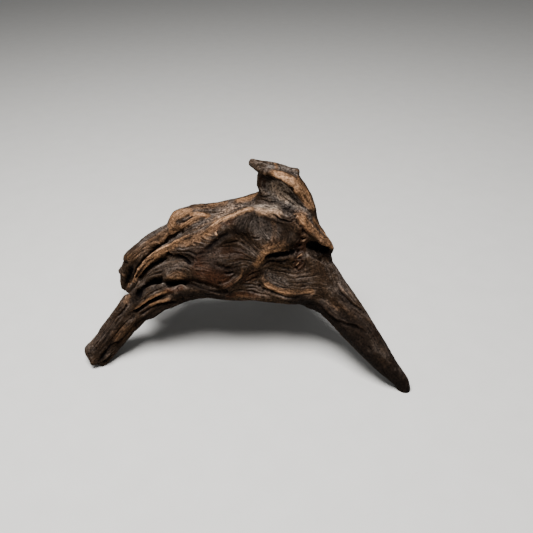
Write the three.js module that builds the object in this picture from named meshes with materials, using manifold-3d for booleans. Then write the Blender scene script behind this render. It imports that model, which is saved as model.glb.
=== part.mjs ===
// A piece of driftwood: a forked root that stands like a low arch on three worn feet.
// Units are millimetres: +X to the right, +Y to the back, +Z up, origin under the middle of the piece.
//
// The wood is one solid field: limbs that flow into each other, with hollows worn out of them, ribs
// left standing on them and a ripple along the grain. The field becomes one closed surface. It is
// sawn flat under the feet and at the main forks, so that each limb is a solid of its own.

import * as THREE from "three";
import { ImprovedNoise } from "three/addons/math/ImprovedNoise.js";
import { SimplifyModifier } from "three/addons/modifiers/SimplifyModifier.js";
import { MarchingCubes } from "three/addons/objects/MarchingCubes.js";
import { mergeVertices } from "three/addons/utils/BufferGeometryUtils.js";
import Module from "manifold-3d";

// Driving dimensions.
const CELL = 2.3; // grid step of the field
const REACH = { x: [-162, 154], y: [-98, 98], z: [-24, 190] }; // space that the wood may fill
const VERTICES_KEPT = 4200; // after the flat stretches are thinned
const SAW_GAP = 0.3; // between two limbs at a fork
const BLEND = 9; // how softly limbs flow into each other
const GRAIN_HEIGHT = 1.3; // ripple of the weathered surface
const GRAIN_WIDTH = 8; // from one rib of the ripple to the next
const GRAIN_LENGTH = 60; // how far a rib runs along its limb
const GRAIN_FADE = 4; // how quickly one limb's ripple gives way to the next
const END_SOFTNESS = 3; // how worn the broken end of the left leg is

// Where the wood is looked at from when its front is drawn: 35 degrees down, from over the sand.
const EYE = new THREE.Vector3(26, -406, 362);
const EYE_PITCH = THREE.MathUtils.degToRad(35);
const EYE_ROLL = THREE.MathUtils.degToRad(-0.95);
const VIEW = { middle: 266.5, reach: 554 }; // the view is 533 wide and its lens 554 away

// Limbs. Each spine point is [x, y, z, radius].
const LIMBS = [
  {
    name: "trunk",
    spine: [
      [53, 8, 97, 23], [36, 10, 94, 32], [10, 11, 91, 33], [-20, 10, 85, 31], [-47, 14, 73, 23],
      [-70, 18, 58, 12],
    ],
    blend: BLEND,
  },
  {
    name: "front ridge",
    spine: [
      [50, 0, 122, 15], [32, -2, 126, 13], [14, -3, 127, 12], [0, -3, 121, 12], [-13, -3, 113, 11],
      [-26, -1, 105, 10.5], [-39, 1, 100, 9.5], [-52, 4, 93, 8.5], [-66, 8, 87, 7.5], [-81, 12, 75, 6.5],
      [-98, 20, 52, 5.5], [-108, 28, 33, 4.5],
    ],
    blend: BLEND,
  },
  {
    name: "middle strand",
    spine: [[-14, -10, 92, 12], [-42, -9, 86, 11], [-64, -2, 75, 9.5], [-80, 4, 61, 8], [-92, 8, 49, 5]],
    blend: 6,
  },
  {
    name: "lower strand",
    spine: [
      [78, -10, 67, 10], [46, -16, 62.5, 11], [12, -19, 68, 10], [-18, -20, 71, 11], [-42, -18, 69, 11],
      [-64, -17, 63, 12], [-82, -15, 54, 12],
    ],
    blend: 8,
  },
  {
    name: "left leg",
    spine: [
      [-72, -15, 59, 12], [-88, -16, 49, 13], [-98, -18, 40, 13.5], [-109, -23, 29, 13.5],
      [-120, -28, 18, 13], [-131, -34, 6, 12.5], [-142, -40, -7, 12],
    ],
    blend: 8,
    end: { at: [-126, -42, 0], facing: [-0.65, -0.33, -0.68] },
  },
  {
    name: "left branch",
    spine: [
      [30, 25, 125, 13], [12, 29, 118, 12], [-4, 33, 113, 12], [-20, 35, 109, 12.5], [-36, 36, 105, 13],
      [-47, 37, 100, 11.5], [-60, 38, 90, 10.5], [-76, 40, 79, 11.5], [-90, 43, 68, 11.5],
      [-102, 46, 55, 11], [-110, 49, 42, 9.5], [-116, 51, 28, 7.5], [-118, 52, 22, 6],
    ],
    blend: 8,
  },
  { name: "branch stub", spine: [[-110, 54, 46, 5], [-122, 58, 35, 3.5]], blend: 4 },
  {
    name: "neck of the crown",
    spine: [
      [44, 12, 112, 25], [41, 18, 130, 20], [36, 19, 145, 15.5], [31, 18, 155, 12.5], [32, 15, 161, 7],
    ],
    blend: BLEND,
  },
  {
    name: "lip of the crown",
    spine: [
      [15, 5, 175, 2.5], [26, 5, 172, 4.5], [37, 5, 167, 6.5], [47, 6, 160, 8], [54, 7, 151, 8.5],
      [59, 8, 140, 8], [62, 8, 128, 7.5], [65, 6, 117, 6],
    ],
    blend: 4,
  },
  { name: "corner of the crown", spine: [[46, 11, 160, 5], [51, 9, 165, 2]], blend: 4 },
  {
    name: "beak",
    spine: [[48, -5, 124, 8], [57, -6, 120, 8], [66, -5, 110, 7], [74, -3, 102, 5.5], [80, -2, 96, 4]],
    blend: 4,
  },
  {
    name: "right leg",
    spine: [
      [56, 0, 86, 26], [72, -12, 68, 20], [89, -28, 55, 16], [103, -44, 43, 13.5], [117, -59, 30, 11],
      [129, -69, 18, 8], [138, -74, 7, 6], [142, -77, -5, 5],
    ],
    blend: BLEND,
  },
  {
    name: "back root",
    spine: [
      [44, 22, 92, 24], [48, 38, 66, 16], [49, 49, 45, 12.5], [54, 58, 25, 10.5], [61, 66, 9, 9],
      [67, 71, -8, 8],
    ],
    blend: 14,
  },
  {
    name: "back strand",
    spine: [[40, 34, 118, 11], [10, 44, 98, 11], [-18, 44, 80, 10], [-44, 40, 66, 8], [-62, 34, 56, 5]],
    blend: BLEND,
  },
];

// Features of the front, drawn as [across, down, radius, depth] in the view from the eye.
const FRONT = [
  {
    name: "flute of the crown",
    carve: true,
    soft: 4,
    path: [[266, 186, 12, 5], [282, 194, 13, 6], [298, 207, 9, 5]],
  },
  {
    name: "shade under the lip",
    carve: true,
    soft: 2,
    path: [[262, 178, 4, 3], [282, 189, 5, 4], [302, 206, 4, 3]],
  },
  {
    name: "grey hollow under the ridge",
    carve: true,
    soft: 6,
    path: [[238, 228, 15, 3], [258, 228, 18, 4], [280, 231, 16, 4]],
  },
  {
    name: "wave below the hollow",
    carve: true,
    soft: 3,
    path: [[229, 229, 5, 2.5], [245, 239, 5, 3.5], [256, 251, 5, 3.5]],
  },
  { name: "bulge of the trunk", soft: 8, path: [[212, 262, 20, 4], [226, 268, 20, 4]] },
  { name: "arc on the bulge", soft: 3, path: [[218, 290, 5, 3], [234, 283, 5, 3.5], [243, 268, 5, 3]] },
  { name: "second hollow", carve: true, soft: 6, path: [[280, 275, 16, 4.5], [298, 277, 16, 4.5]] },
  {
    name: "rim of the second hollow",
    soft: 3,
    path: [[263, 278, 5, 3], [272, 288, 5, 3], [290, 296, 5, 3], [312, 292, 5, 2]],
  },
  {
    name: "cleft",
    carve: true,
    soft: 2,
    path: [[262, 264, 4, 3], [272, 257, 5, 5], [284, 255, 5, 5], [296, 249, 5, 5]],
  },
  {
    name: "splintered hollow",
    carve: true,
    soft: 2,
    path: [[303, 234, 4, 3], [303, 250, 5, 4], [297, 266, 4, 3]],
  },
  {
    name: "undercut of the beak",
    carve: true,
    soft: 2,
    path: [[311, 248, 6, 6], [320, 253, 7, 9], [328, 259, 6, 7]],
  },
  {
    name: "crack across the top",
    carve: true,
    soft: 2,
    path: [[275, 216, 4, 3], [285, 220, 4, 4], [297, 219, 4, 3]],
  },
  { name: "knob of the branch", soft: 6, path: [[181, 222, 11, 2], [195, 219, 11, 2.5]] },
  {
    name: "gap beside the branch",
    carve: true,
    soft: 3,
    path: [
      [180, 231, 4, 1], [168, 240, 4, 4], [157, 248, 5, 8], [146, 257, 5, 11], [136, 269, 5, 11],
      [129, 281, 5, 10],
    ],
  },
  {
    name: "gap under the ridge",
    carve: true,
    soft: 2,
    path: [[190, 261, 4, 2.5], [177, 257, 4, 4], [166, 259, 4, 6], [152, 266, 4, 6], [139, 279, 4, 5]],
  },
  { name: "lump on the middle strand", soft: 4, path: [[172, 276, 7, 3.5], [182, 275, 7, 3]] },
  {
    name: "long crack",
    carve: true,
    soft: 2,
    path: [[161, 281, 4, 6], [151, 284, 5, 10], [142, 290, 5, 10], [138, 296, 4, 6]],
  },
  {
    name: "crack under the lump",
    carve: true,
    soft: 2,
    path: [[168, 284, 4, 5], [182, 283, 4, 5], [196, 284, 4, 4], [210, 288, 4, 3.5], [224, 292, 4, 2.5]],
  },
  {
    name: "upper groove of the leg",
    carve: true,
    soft: 2,
    path: [
      [170, 295, 4, 2], [156, 300, 4.5, 4.5], [142, 307, 4.5, 4.5], [126, 322, 4, 3], [108, 345, 4, 2.5],
    ],
  },
  {
    name: "lower groove of the leg",
    carve: true,
    soft: 2,
    path: [
      [181, 300, 4, 2.5], [166, 304, 4.5, 4], [150, 312, 4, 3.5], [132, 330, 4, 3], [113, 352, 4, 2.5],
    ],
  },
  {
    name: "upper rib of the leg",
    soft: 3,
    path: [[128, 300, 5, 2.5], [114, 319, 5, 2.5], [98, 342, 5, 2]],
  },
  {
    name: "groove of the right leg",
    carve: true,
    soft: 3,
    path: [[335, 284, 5, 2.5], [350, 302, 5, 4], [366, 322, 5, 3.5], [382, 348, 4, 2.5]],
  },
  {
    name: "crease of the right leg",
    carve: true,
    soft: 3,
    path: [[322, 300, 5, 2.5], [340, 313, 5, 3.5], [356, 330, 5, 3], [370, 350, 4, 2]],
  },
];

// Features of the back, drawn as [x, z, radius, depth] on the wood as seen square on from behind.
const BACK = [
  { name: "hollow behind the crown", carve: true, soft: 6, path: [[48, 148, 11, 4], [44, 128, 14, 5]] },
  {
    name: "long hollow of the back",
    carve: true,
    soft: 5,
    path: [[24, 112, 9, 4], [-6, 104, 10, 5], [-34, 92, 8, 4]],
  },
  {
    name: "split of the back root",
    carve: true,
    soft: 2,
    path: [[38, 88, 4, 3], [44, 62, 4, 4], [48, 40, 4, 3]],
  },
  {
    name: "rib of the back root",
    soft: 4,
    path: [[62, 86, 8, 4], [57, 60, 7, 4], [57, 34, 6, 3], [64, 12, 5, 2]],
  },
  { name: "hollow of the right side", carve: true, soft: 5, path: [[78, 84, 8, 4], [92, 62, 7, 3]] },
  { name: "knot hole of the back", carve: true, soft: 2, path: [[-22, 74, 5, 6], [-25, 72, 5, 6]] },
  {
    name: "lower split of the back",
    carve: true,
    soft: 2,
    path: [[20, 78, 3, 3], [-4, 72, 4, 4], [-34, 66, 3, 3]],
  },
];

// Main forks: where the saw goes through, the way it faces, its size and a point of the limb beyond.
const FORKS = [
  { node: "left_leg", at: [-97, -18, 41], facing: [-0.65, -0.3, -0.7], size: 42, beyond: [-120, -28, 18] },
  { node: "right_leg", at: [86, -25, 57], facing: [0.66, -0.6, -0.46], size: 60, beyond: [117, -60, 30] },
  { node: "left_branch", at: [-81, 41, 75], facing: [-0.75, 0.1, -0.65], size: 35, beyond: [-95, 44, 62] },
  { node: "crown", at: [44, 14, 143], facing: [-0.1, 0.2, 1], size: 78, beyond: [38, 14, 155] },
  { node: "back_root", at: [49, 44, 55], facing: [0.05, 0.5, -0.86], size: 60, beyond: [58, 62, 16] },
];

const COLOURS = {
  trunk: 0x5b4433, // weathered brown with grey faces
  left_leg: 0x51402f,
  right_leg: 0x4a3527, // the darkest, still damp from the sand
  left_branch: 0x634731,
  crown: 0x6a5140,
  back_root: 0x52402f,
};

const STEPS_PER_SPAN = 3; // straight pieces between two drawn points
const FAR = 30; // beyond this a shape no longer touches the field
const FEATURE_REACH = 14; // no hollow is deeper and no rib higher
const SAME_POINT = 1e-3; // corners closer than this are one corner
const SAME_CORNER = 1e-4; // the same, once the surface has been thinned
const noise = new ImprovedNoise();

// A chain of round cones through samples of { at, radius }.
function chainThrough(samples) {
  const cones = [];
  let run = 0;
  samples.slice(1).forEach((to, i) => {
    const from = samples[i];
    const along = to.at.clone().sub(from.at);
    const dr = to.radius - from.radius;
    cones.push({ from: from.at, along, squared: along.lengthSq(), r0: from.radius, dr, run });
    run += along.length();
  });
  const box = new THREE.Box3().setFromPoints(samples.map(({ at }) => at));
  const ball = box.getBoundingSphere(new THREE.Sphere());
  ball.radius += Math.max(...samples.map(({ radius }) => radius));
  return { cones, ball };
}

function chainOfLimb({ spine }) {
  const curve = new THREE.CatmullRomCurve3(spine.map(([x, y, z]) => new THREE.Vector3(x, y, z)));
  const radii = new THREE.SplineCurve(spine.map(([, , , r], i) => new THREE.Vector2(i, r)));
  const steps = (spine.length - 1) * STEPS_PER_SPAN;
  return chainThrough(
    Array.from({ length: steps + 1 }, (_, i) => ({
      at: curve.getPoint(i / steps),
      radius: radii.getPoint(i / steps).y,
    })),
  );
}

// Distance to a chain, and in found the offset from its axis and the run along it.
function distanceTo({ cones, ball }, x, y, z, found) {
  const away = Math.hypot(x - ball.center.x, y - ball.center.y, z - ball.center.z) - ball.radius;
  if (away > FAR) return away;
  let nearest = Infinity;
  for (const { from, along, squared, r0, dr, run } of cones) {
    const px = x - from.x;
    const py = y - from.y;
    const pz = z - from.z;
    const t = Math.min(1, Math.max(0, (px * along.x + py * along.y + pz * along.z) / squared));
    const ox = px - t * along.x;
    const oy = py - t * along.y;
    const oz = pz - t * along.z;
    const d = Math.hypot(ox, oy, oz) - r0 - t * dr;
    if (d < nearest) {
      nearest = d;
      if (found) Object.assign(found, { ox, oy, oz, run: run + t * Math.sqrt(squared) });
    }
  }
  return nearest;
}

function smoothUnion(a, b, blend) {
  const h = Math.max(blend - Math.abs(a - b), 0) / blend;
  return Math.min(a, b) - (h * h * blend) / 4;
}

function smoothCarve(a, b, blend) {
  return -smoothUnion(-a, b, blend);
}

const limbs = LIMBS.map((limb) => ({ ...limb, ...chainOfLimb(limb) }));
const found = { ox: 0, oy: 0, oz: 0, run: 0 };

// The limbs alone, with the ripple that runs along each of them.
function limbsAt(x, y, z) {
  const FADED_OUT = 3 * GRAIN_FADE; // so far from a limb that its ripple is gone
  const APART = 7.3; // sets the ripples of two limbs apart
  let d = Infinity;
  let ripple = 0;
  let weights = 0;
  limbs.forEach((limb, index) => {
    let next = distanceTo(limb, x, y, z, found);
    if (limb.end) {
      const [ex, ey, ez] = limb.end.at;
      const [fx, fy, fz] = limb.end.facing;
      next = smoothCarve(next, -((x - ex) * fx + (y - ey) * fy + (z - ez) * fz), END_SOFTNESS);
    }
    d = d === Infinity ? next : smoothUnion(d, next, limb.blend);
    if (next > FADED_OUT) return;
    const weight = Math.exp(-next / GRAIN_FADE);
    const side = index * APART;
    const { ox, oy, oz, run } = found;
    const lengthwise = oz / GRAIN_WIDTH + run / GRAIN_LENGTH;
    ripple += weight * noise.noise(ox / GRAIN_WIDTH + side, oy / GRAIN_WIDTH, lengthwise);
    weights += weight;
  });
  return weights > 0 ? d - (GRAIN_HEIGHT * ripple) / weights : d;
}

// Walks from a start along a direction until it meets the limbs, or fails with the feature's name.
function meet(start, direction, name) {
  const MOST_STEPS = 200;
  const TOUCHING = 0.05;
  const CAUTION = 0.8; // part of the distance that one step takes, as blends bring the wood closer
  const at = start.clone();
  for (let i = 0; i < MOST_STEPS; i++) {
    const d = limbsAt(at.x, at.y, at.z);
    if (d < TOUCHING) return at;
    at.addScaledVector(direction, d * CAUTION);
  }
  throw new Error(`${name} misses the wood`);
}

function sightFromEye(across, down) {
  const u = across - VIEW.middle;
  const v = down - VIEW.middle;
  const right = (Math.cos(EYE_ROLL) * u + Math.sin(EYE_ROLL) * v) / VIEW.reach;
  const low = (Math.cos(EYE_ROLL) * v - Math.sin(EYE_ROLL) * u) / VIEW.reach;
  const ahead = Math.cos(EYE_PITCH) - low * Math.sin(EYE_PITCH);
  const up = -Math.sin(EYE_PITCH) - low * Math.cos(EYE_PITCH);
  return { start: EYE, direction: new THREE.Vector3(right, ahead, up).normalize() };
}

function sightFromBehind(x, z) {
  return { start: new THREE.Vector3(x, REACH.y[1], z), direction: new THREE.Vector3(0, -1, 0) };
}

// A drawn feature becomes a chain laid on the limbs, sunk into them or standing on them.
function chainOfFeature({ name, path, carve }, sight) {
  const line = new THREE.SplineCurve(path.map(([a, b]) => new THREE.Vector2(a, b)));
  const girth = new THREE.SplineCurve(path.map(([, , radius, depth]) => new THREE.Vector2(radius, depth)));
  const steps = (path.length - 1) * STEPS_PER_SPAN;
  return chainThrough(
    Array.from({ length: steps + 1 }, (_, i) => {
      const { x: a, y: b } = line.getPoint(i / steps);
      const { x: radius, y: depth } = girth.getPoint(i / steps);
      const { start, direction } = sight(a, b);
      const lift = carve ? depth - radius : radius - depth;
      return { at: meet(start, direction, name).addScaledVector(direction, lift), radius };
    }),
  );
}

const features = [
  ...FRONT.map((feature) => ({ ...feature, ...chainOfFeature(feature, sightFromEye) })),
  ...BACK.map((feature) => ({ ...feature, ...chainOfFeature(feature, sightFromBehind) })),
];

// Signed distance to the wood's surface, negative inside.
function woodAt(x, y, z) {
  let d = limbsAt(x, y, z);
  if (Math.abs(d) > FEATURE_REACH) return d;
  for (const feature of features) {
    const next = distanceTo(feature, x, y, z);
    d = feature.carve ? smoothCarve(d, next, feature.soft) : smoothUnion(d, next, feature.soft);
  }
  return d;
}

// The field's surface as one closed mesh.
function surfaceOf(field) {
  const MOST_TRIANGLES = 200000;
  const LEAST = 0.15; // the surface stays this far from the grid's own points
  const size = Math.ceil((REACH.x[1] - REACH.x[0]) / CELL);
  const cubes = new MarchingCubes(size, new THREE.MeshBasicMaterial(), false, false, MOST_TRIANGLES);
  cubes.isolation = 0;
  cubes.field.fill(-FAR);
  const steps = ([low, high]) => Math.min(size, Math.floor((high - low) / CELL));
  for (let k = 0; k < steps(REACH.z); k++) {
    for (let j = 0; j < steps(REACH.y); j++) {
      for (let i = 0; i < size; i++) {
        const d = field(REACH.x[0] + i * CELL, REACH.y[0] + j * CELL, REACH.z[0] + k * CELL);
        const clear = Math.abs(d) < LEAST ? LEAST * (d < 0 ? -1 : 1) : d;
        cubes.field[i + j * size + k * size * size] = -clear;
      }
    }
  }
  cubes.update();
  const half = size / 2;
  const grid = new THREE.BufferGeometry();
  const corners = cubes.positionArray.slice(0, cubes.count * 3);
  grid.setAttribute("position", new THREE.BufferAttribute(corners, 3));
  grid.translate(1, 1, 1).scale(half * CELL, half * CELL, half * CELL);
  grid.translate(REACH.x[0], REACH.y[0], REACH.z[0]);
  return mergeVertices(grid, SAME_POINT);
}

const solids = await Module();
solids.setup();
const { Manifold, Mesh: SolidMesh } = solids;

function solidOf(geometry) {
  const bare = new THREE.BufferGeometry();
  bare.setAttribute("position", geometry.getAttribute("position").clone());
  bare.setIndex(geometry.getIndex());
  const welded = mergeVertices(bare, SAME_CORNER);
  return new Manifold(
    new SolidMesh({
      numProp: 3,
      vertProperties: new Float32Array(welded.getAttribute("position").array),
      triVerts: new Uint32Array(welded.getIndex().array),
    }),
  );
}

function geometryOf(solid) {
  const { vertProperties, triVerts, numProp } = solid.getMesh();
  const geometry = new THREE.BufferGeometry();
  const positions = new Float32Array((vertProperties.length / numProp) * 3);
  for (let i = 0; i < positions.length / 3; i++) {
    positions.set(vertProperties.subarray(i * numProp, i * numProp + 3), i * 3);
  }
  geometry.setAttribute("position", new THREE.BufferAttribute(positions, 3));
  geometry.setIndex(new THREE.BufferAttribute(new Uint32Array(triVerts), 1));
  return geometry;
}

// A thin slab, as wide as the saw cut, set square across a limb.
function sawBlade({ at, facing, size }) {
  const blade = new THREE.BoxGeometry(size, size, SAW_GAP);
  const up = new THREE.Vector3(0, 0, 1);
  const turn = new THREE.Quaternion().setFromUnitVectors(up, new THREE.Vector3(...facing).normalize());
  return solidOf(blade.applyQuaternion(turn).translate(...at));
}

// All that lies under the feet, so that the soles end flat on the ground.
function ground() {
  const WIDE = 400;
  const DEEP = 40;
  return solidOf(new THREE.BoxGeometry(WIDE, WIDE, DEEP).translate(0, 0, -DEEP / 2));
}

const surface = surfaceOf(woodAt);
const surplus = surface.getAttribute("position").count - VERTICES_KEPT;
const thinned = await new SimplifyModifier().modify(surface, surplus);
const sawn = Manifold.difference([solidOf(thinned), ground(), ...FORKS.map(sawBlade)]);

function boxOf(solid) {
  const { min, max } = solid.boundingBox();
  return new THREE.Box3(new THREE.Vector3(...min), new THREE.Vector3(...max));
}

// Each fork names the smallest sawn piece that holds its inner point, and what is left is the trunk.
function nameOf(piece, pieces) {
  const holders = (point) => pieces.filter((one) => boxOf(one).containsPoint(new THREE.Vector3(...point)));
  const smallest = (list) => list.reduce((a, b) => (a.volume() < b.volume() ? a : b));
  const fork = FORKS.find(({ beyond }) => smallest(holders(beyond)) === piece);
  return fork ? fork.node : "trunk";
}

const pieces = sawn.decompose();
const middle = boxOf(sawn).getCenter(new THREE.Vector3());
const driftwood = new THREE.Group();
for (const piece of pieces) {
  const name = nameOf(piece, pieces);
  const material = new THREE.MeshStandardMaterial({ color: COLOURS[name], roughness: 0.85, metalness: 0 });
  const mesh = new THREE.Mesh(geometryOf(piece).translate(-middle.x, -middle.y, 0), material);
  mesh.name = name;
  driftwood.add(mesh);
}

export default driftwood;
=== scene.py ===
"""A piece of driftwood, dressed as weathered wood over its solid model, with the stage it is seen on."""

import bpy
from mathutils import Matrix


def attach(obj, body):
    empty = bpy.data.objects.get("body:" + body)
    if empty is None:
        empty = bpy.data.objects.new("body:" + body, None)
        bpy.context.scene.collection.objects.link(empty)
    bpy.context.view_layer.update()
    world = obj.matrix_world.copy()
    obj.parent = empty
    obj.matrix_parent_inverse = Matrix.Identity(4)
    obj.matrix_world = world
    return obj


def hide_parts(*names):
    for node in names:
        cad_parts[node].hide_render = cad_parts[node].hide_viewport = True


bl_info = {
    "name": "Weathered Driftwood",
    "version": (1, 0, 0),
    "blender": (4, 5, 0),
    "location": "View3D > Sidebar > Driftwood",
    "description": "Grows a weathered skin over a forked driftwood root, saws it into limbs and lights it",
    "category": "Object",
}

import math

import bmesh
import bpy
import numpy as np
from bpy.props import FloatProperty, FloatVectorProperty, PointerProperty
from mathutils import Matrix, Vector
from mathutils.bvhtree import BVHTree

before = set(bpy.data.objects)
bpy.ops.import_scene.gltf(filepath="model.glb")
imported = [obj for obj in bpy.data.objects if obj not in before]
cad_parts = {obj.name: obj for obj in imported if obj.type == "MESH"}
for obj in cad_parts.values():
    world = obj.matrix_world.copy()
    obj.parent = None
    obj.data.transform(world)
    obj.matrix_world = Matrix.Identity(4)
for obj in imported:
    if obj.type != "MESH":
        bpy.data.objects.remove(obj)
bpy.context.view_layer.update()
NODES = ["trunk", "left_leg", "right_leg", "left_branch", "crown", "back_root"]
SKIN = "driftwood_skin"

# Lengths in the tables are millimetres, in the same frame as the solids.
MM = 0.001

# The eye that the front is drawn from: 35 degrees down, on a view 533 pixels wide.
EYE = np.array([24.143, -404.221, 362.0])
EYE_PITCH = math.radians(35)
EYE_ROLL = math.radians(-0.95)
VIEW_SIZE = 533
VIEW_MIDDLE = VIEW_SIZE / 2
VIEW_REACH = 554

# Where the level look from behind, the look straight down and the look straight up start.
BEHIND = 200
ABOVE = 300
BELOW = -1

# Spines of the limbs, which the grain follows. Each point is [x, y, z, radius] and is set off by DRAWN_FROM.
DRAWN_FROM = np.array([1.857, -1.779, 0.0])
LIMBS = {
    "trunk": {
        "spine": [
            [53, 8, 97, 23], [36, 10, 94, 32], [10, 11, 91, 33], [-20, 10, 85, 31], [-47, 14, 73, 23],
            [-70, 18, 58, 12],
        ],
        "rough": 1.0, "checked": 0.3,
    },
    "front ridge": {
        "spine": [
            [50, 0, 122, 15], [32, -2, 126, 13], [0, -3, 121, 12], [-26, -1, 105, 10.5], [-52, 4, 93, 8.5],
            [-66, 8, 87, 7.5], [-81, 12, 75, 6.5], [-98, 20, 52, 5.5], [-108, 28, 33, 4.5],
        ],
        "rough": 0.8, "checked": 0.3,
    },
    "middle strand": {
        "spine": [
            [-14, -10, 92, 12], [-42, -9, 86, 11], [-64, -2, 75, 9.5], [-80, 4, 61, 8], [-92, 8, 49, 5],
        ],
        "rough": 0.8, "checked": 0.1,
    },
    "lower strand": {
        "spine": [
            [78, -10, 67, 10], [46, -16, 62.5, 11], [12, -19, 68, 10], [-18, -20, 71, 11], [-42, -18, 69, 11],
            [-64, -17, 63, 12], [-82, -15, 54, 12],
        ],
        "rough": 0.8, "checked": 0.1,
    },
    "left leg": {
        "spine": [
            [-72, -15, 59, 12], [-88, -16, 49, 13], [-98, -18, 40, 13.5], [-109, -23, 29, 13.5],
            [-120, -28, 18, 13], [-131, -34, 6, 12.5], [-142, -40, -7, 12],
        ],
        "rough": 0.75, "checked": 0.0,
    },
    "left branch": {
        "spine": [
            [30, 25, 125, 13], [-4, 33, 113, 12], [-36, 36, 105, 13], [-60, 38, 90, 10.5],
            [-76, 40, 79, 11.5], [-90, 43, 68, 11.5], [-102, 46, 55, 11], [-110, 49, 42, 9.5],
            [-118, 52, 22, 6],
        ],
        "rough": 0.75, "checked": 1.0,
    },
    "neck of the crown": {
        "spine": [
            [44, 12, 112, 25], [41, 18, 130, 20], [36, 19, 145, 15.5], [31, 18, 155, 12.5], [32, 15, 161, 7],
        ],
        "rough": 0.45, "checked": 1.0,
    },
    "lip of the crown": {
        "spine": [
            [15, 5, 175, 2.5], [26, 5, 172, 4.5], [37, 5, 167, 6.5], [47, 6, 160, 8], [54, 7, 151, 8.5],
            [59, 8, 140, 8], [62, 8, 128, 7.5], [65, 6, 117, 6],
        ],
        "rough": 0.35, "checked": 0.2,
    },
    "beak": {
        "spine": [[48, -5, 124, 8], [57, -6, 120, 8], [66, -5, 110, 7], [74, -3, 102, 5.5], [80, -2, 96, 4]],
        "rough": 0.4, "checked": 0.2,
    },
    "right leg": {
        "spine": [
            [56, 0, 86, 26], [72, -12, 68, 20], [89, -28, 55, 16], [103, -44, 43, 13.5], [117, -59, 30, 11],
            [129, -69, 18, 8], [138, -74, 7, 6], [142, -77, -5, 5],
        ],
        "rough": 0.32, "checked": 0.1,
    },
    "back root": {
        "spine": [
            [44, 22, 92, 24], [48, 38, 66, 16], [49, 49, 45, 12.5], [54, 58, 25, 10.5], [61, 66, 9, 9],
            [67, 71, -8, 8],
        ],
        "rough": 0.7, "checked": 0.2,
    },
    "back strand": {
        "spine": [[40, 34, 118, 11], [10, 44, 98, 11], [-18, 44, 80, 10], [-44, 40, 66, 8], [-62, 34, 56, 5]],
        "rough": 0.9, "checked": 0.3,
    },
}

# Where the skin is sawn: the piece beyond the cut, a point of the cut, the way it faces, how far it goes
# and a point of that piece. The last two cuts only keep the parts of the trunk from growing too heavy.
CUTS = [
    {"piece": "left_leg", "at": [-97, -18, 41], "facing": [-0.65, -0.3, -0.7], "reach": 24,
     "beyond": [-120, -28, 18]},
    {"piece": "right_leg", "at": [86, -25, 57], "facing": [0.66, -0.6, -0.46], "reach": 34,
     "beyond": [117, -60, 30]},
    {"piece": "left_branch", "at": [-81, 41, 75], "facing": [-0.75, 0.1, -0.65], "reach": 20,
     "beyond": [-95, 44, 62]},
    {"piece": "crown", "at": [44, 14, 143], "facing": [-0.1, 0.2, 1], "reach": 42, "beyond": [38, 14, 165]},
    {"piece": "back_root", "at": [49, 44, 55], "facing": [0.05, 0.5, -0.86], "reach": 30,
     "beyond": [58, 62, 16]},
    {"piece": "trunk_left", "at": [-20, 10, 90], "facing": [-1, 0, 0], "reach": 90, "beyond": [-60, 0, 75]},
    {"piece": "trunk_middle", "at": [27, 10, 90], "facing": [-1, 0, 0], "reach": 90, "beyond": [4, 0, 90]},
]
NODE_OF = {"trunk_left": "trunk", "trunk_middle": "trunk", "trunk_right": "trunk"}

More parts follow.
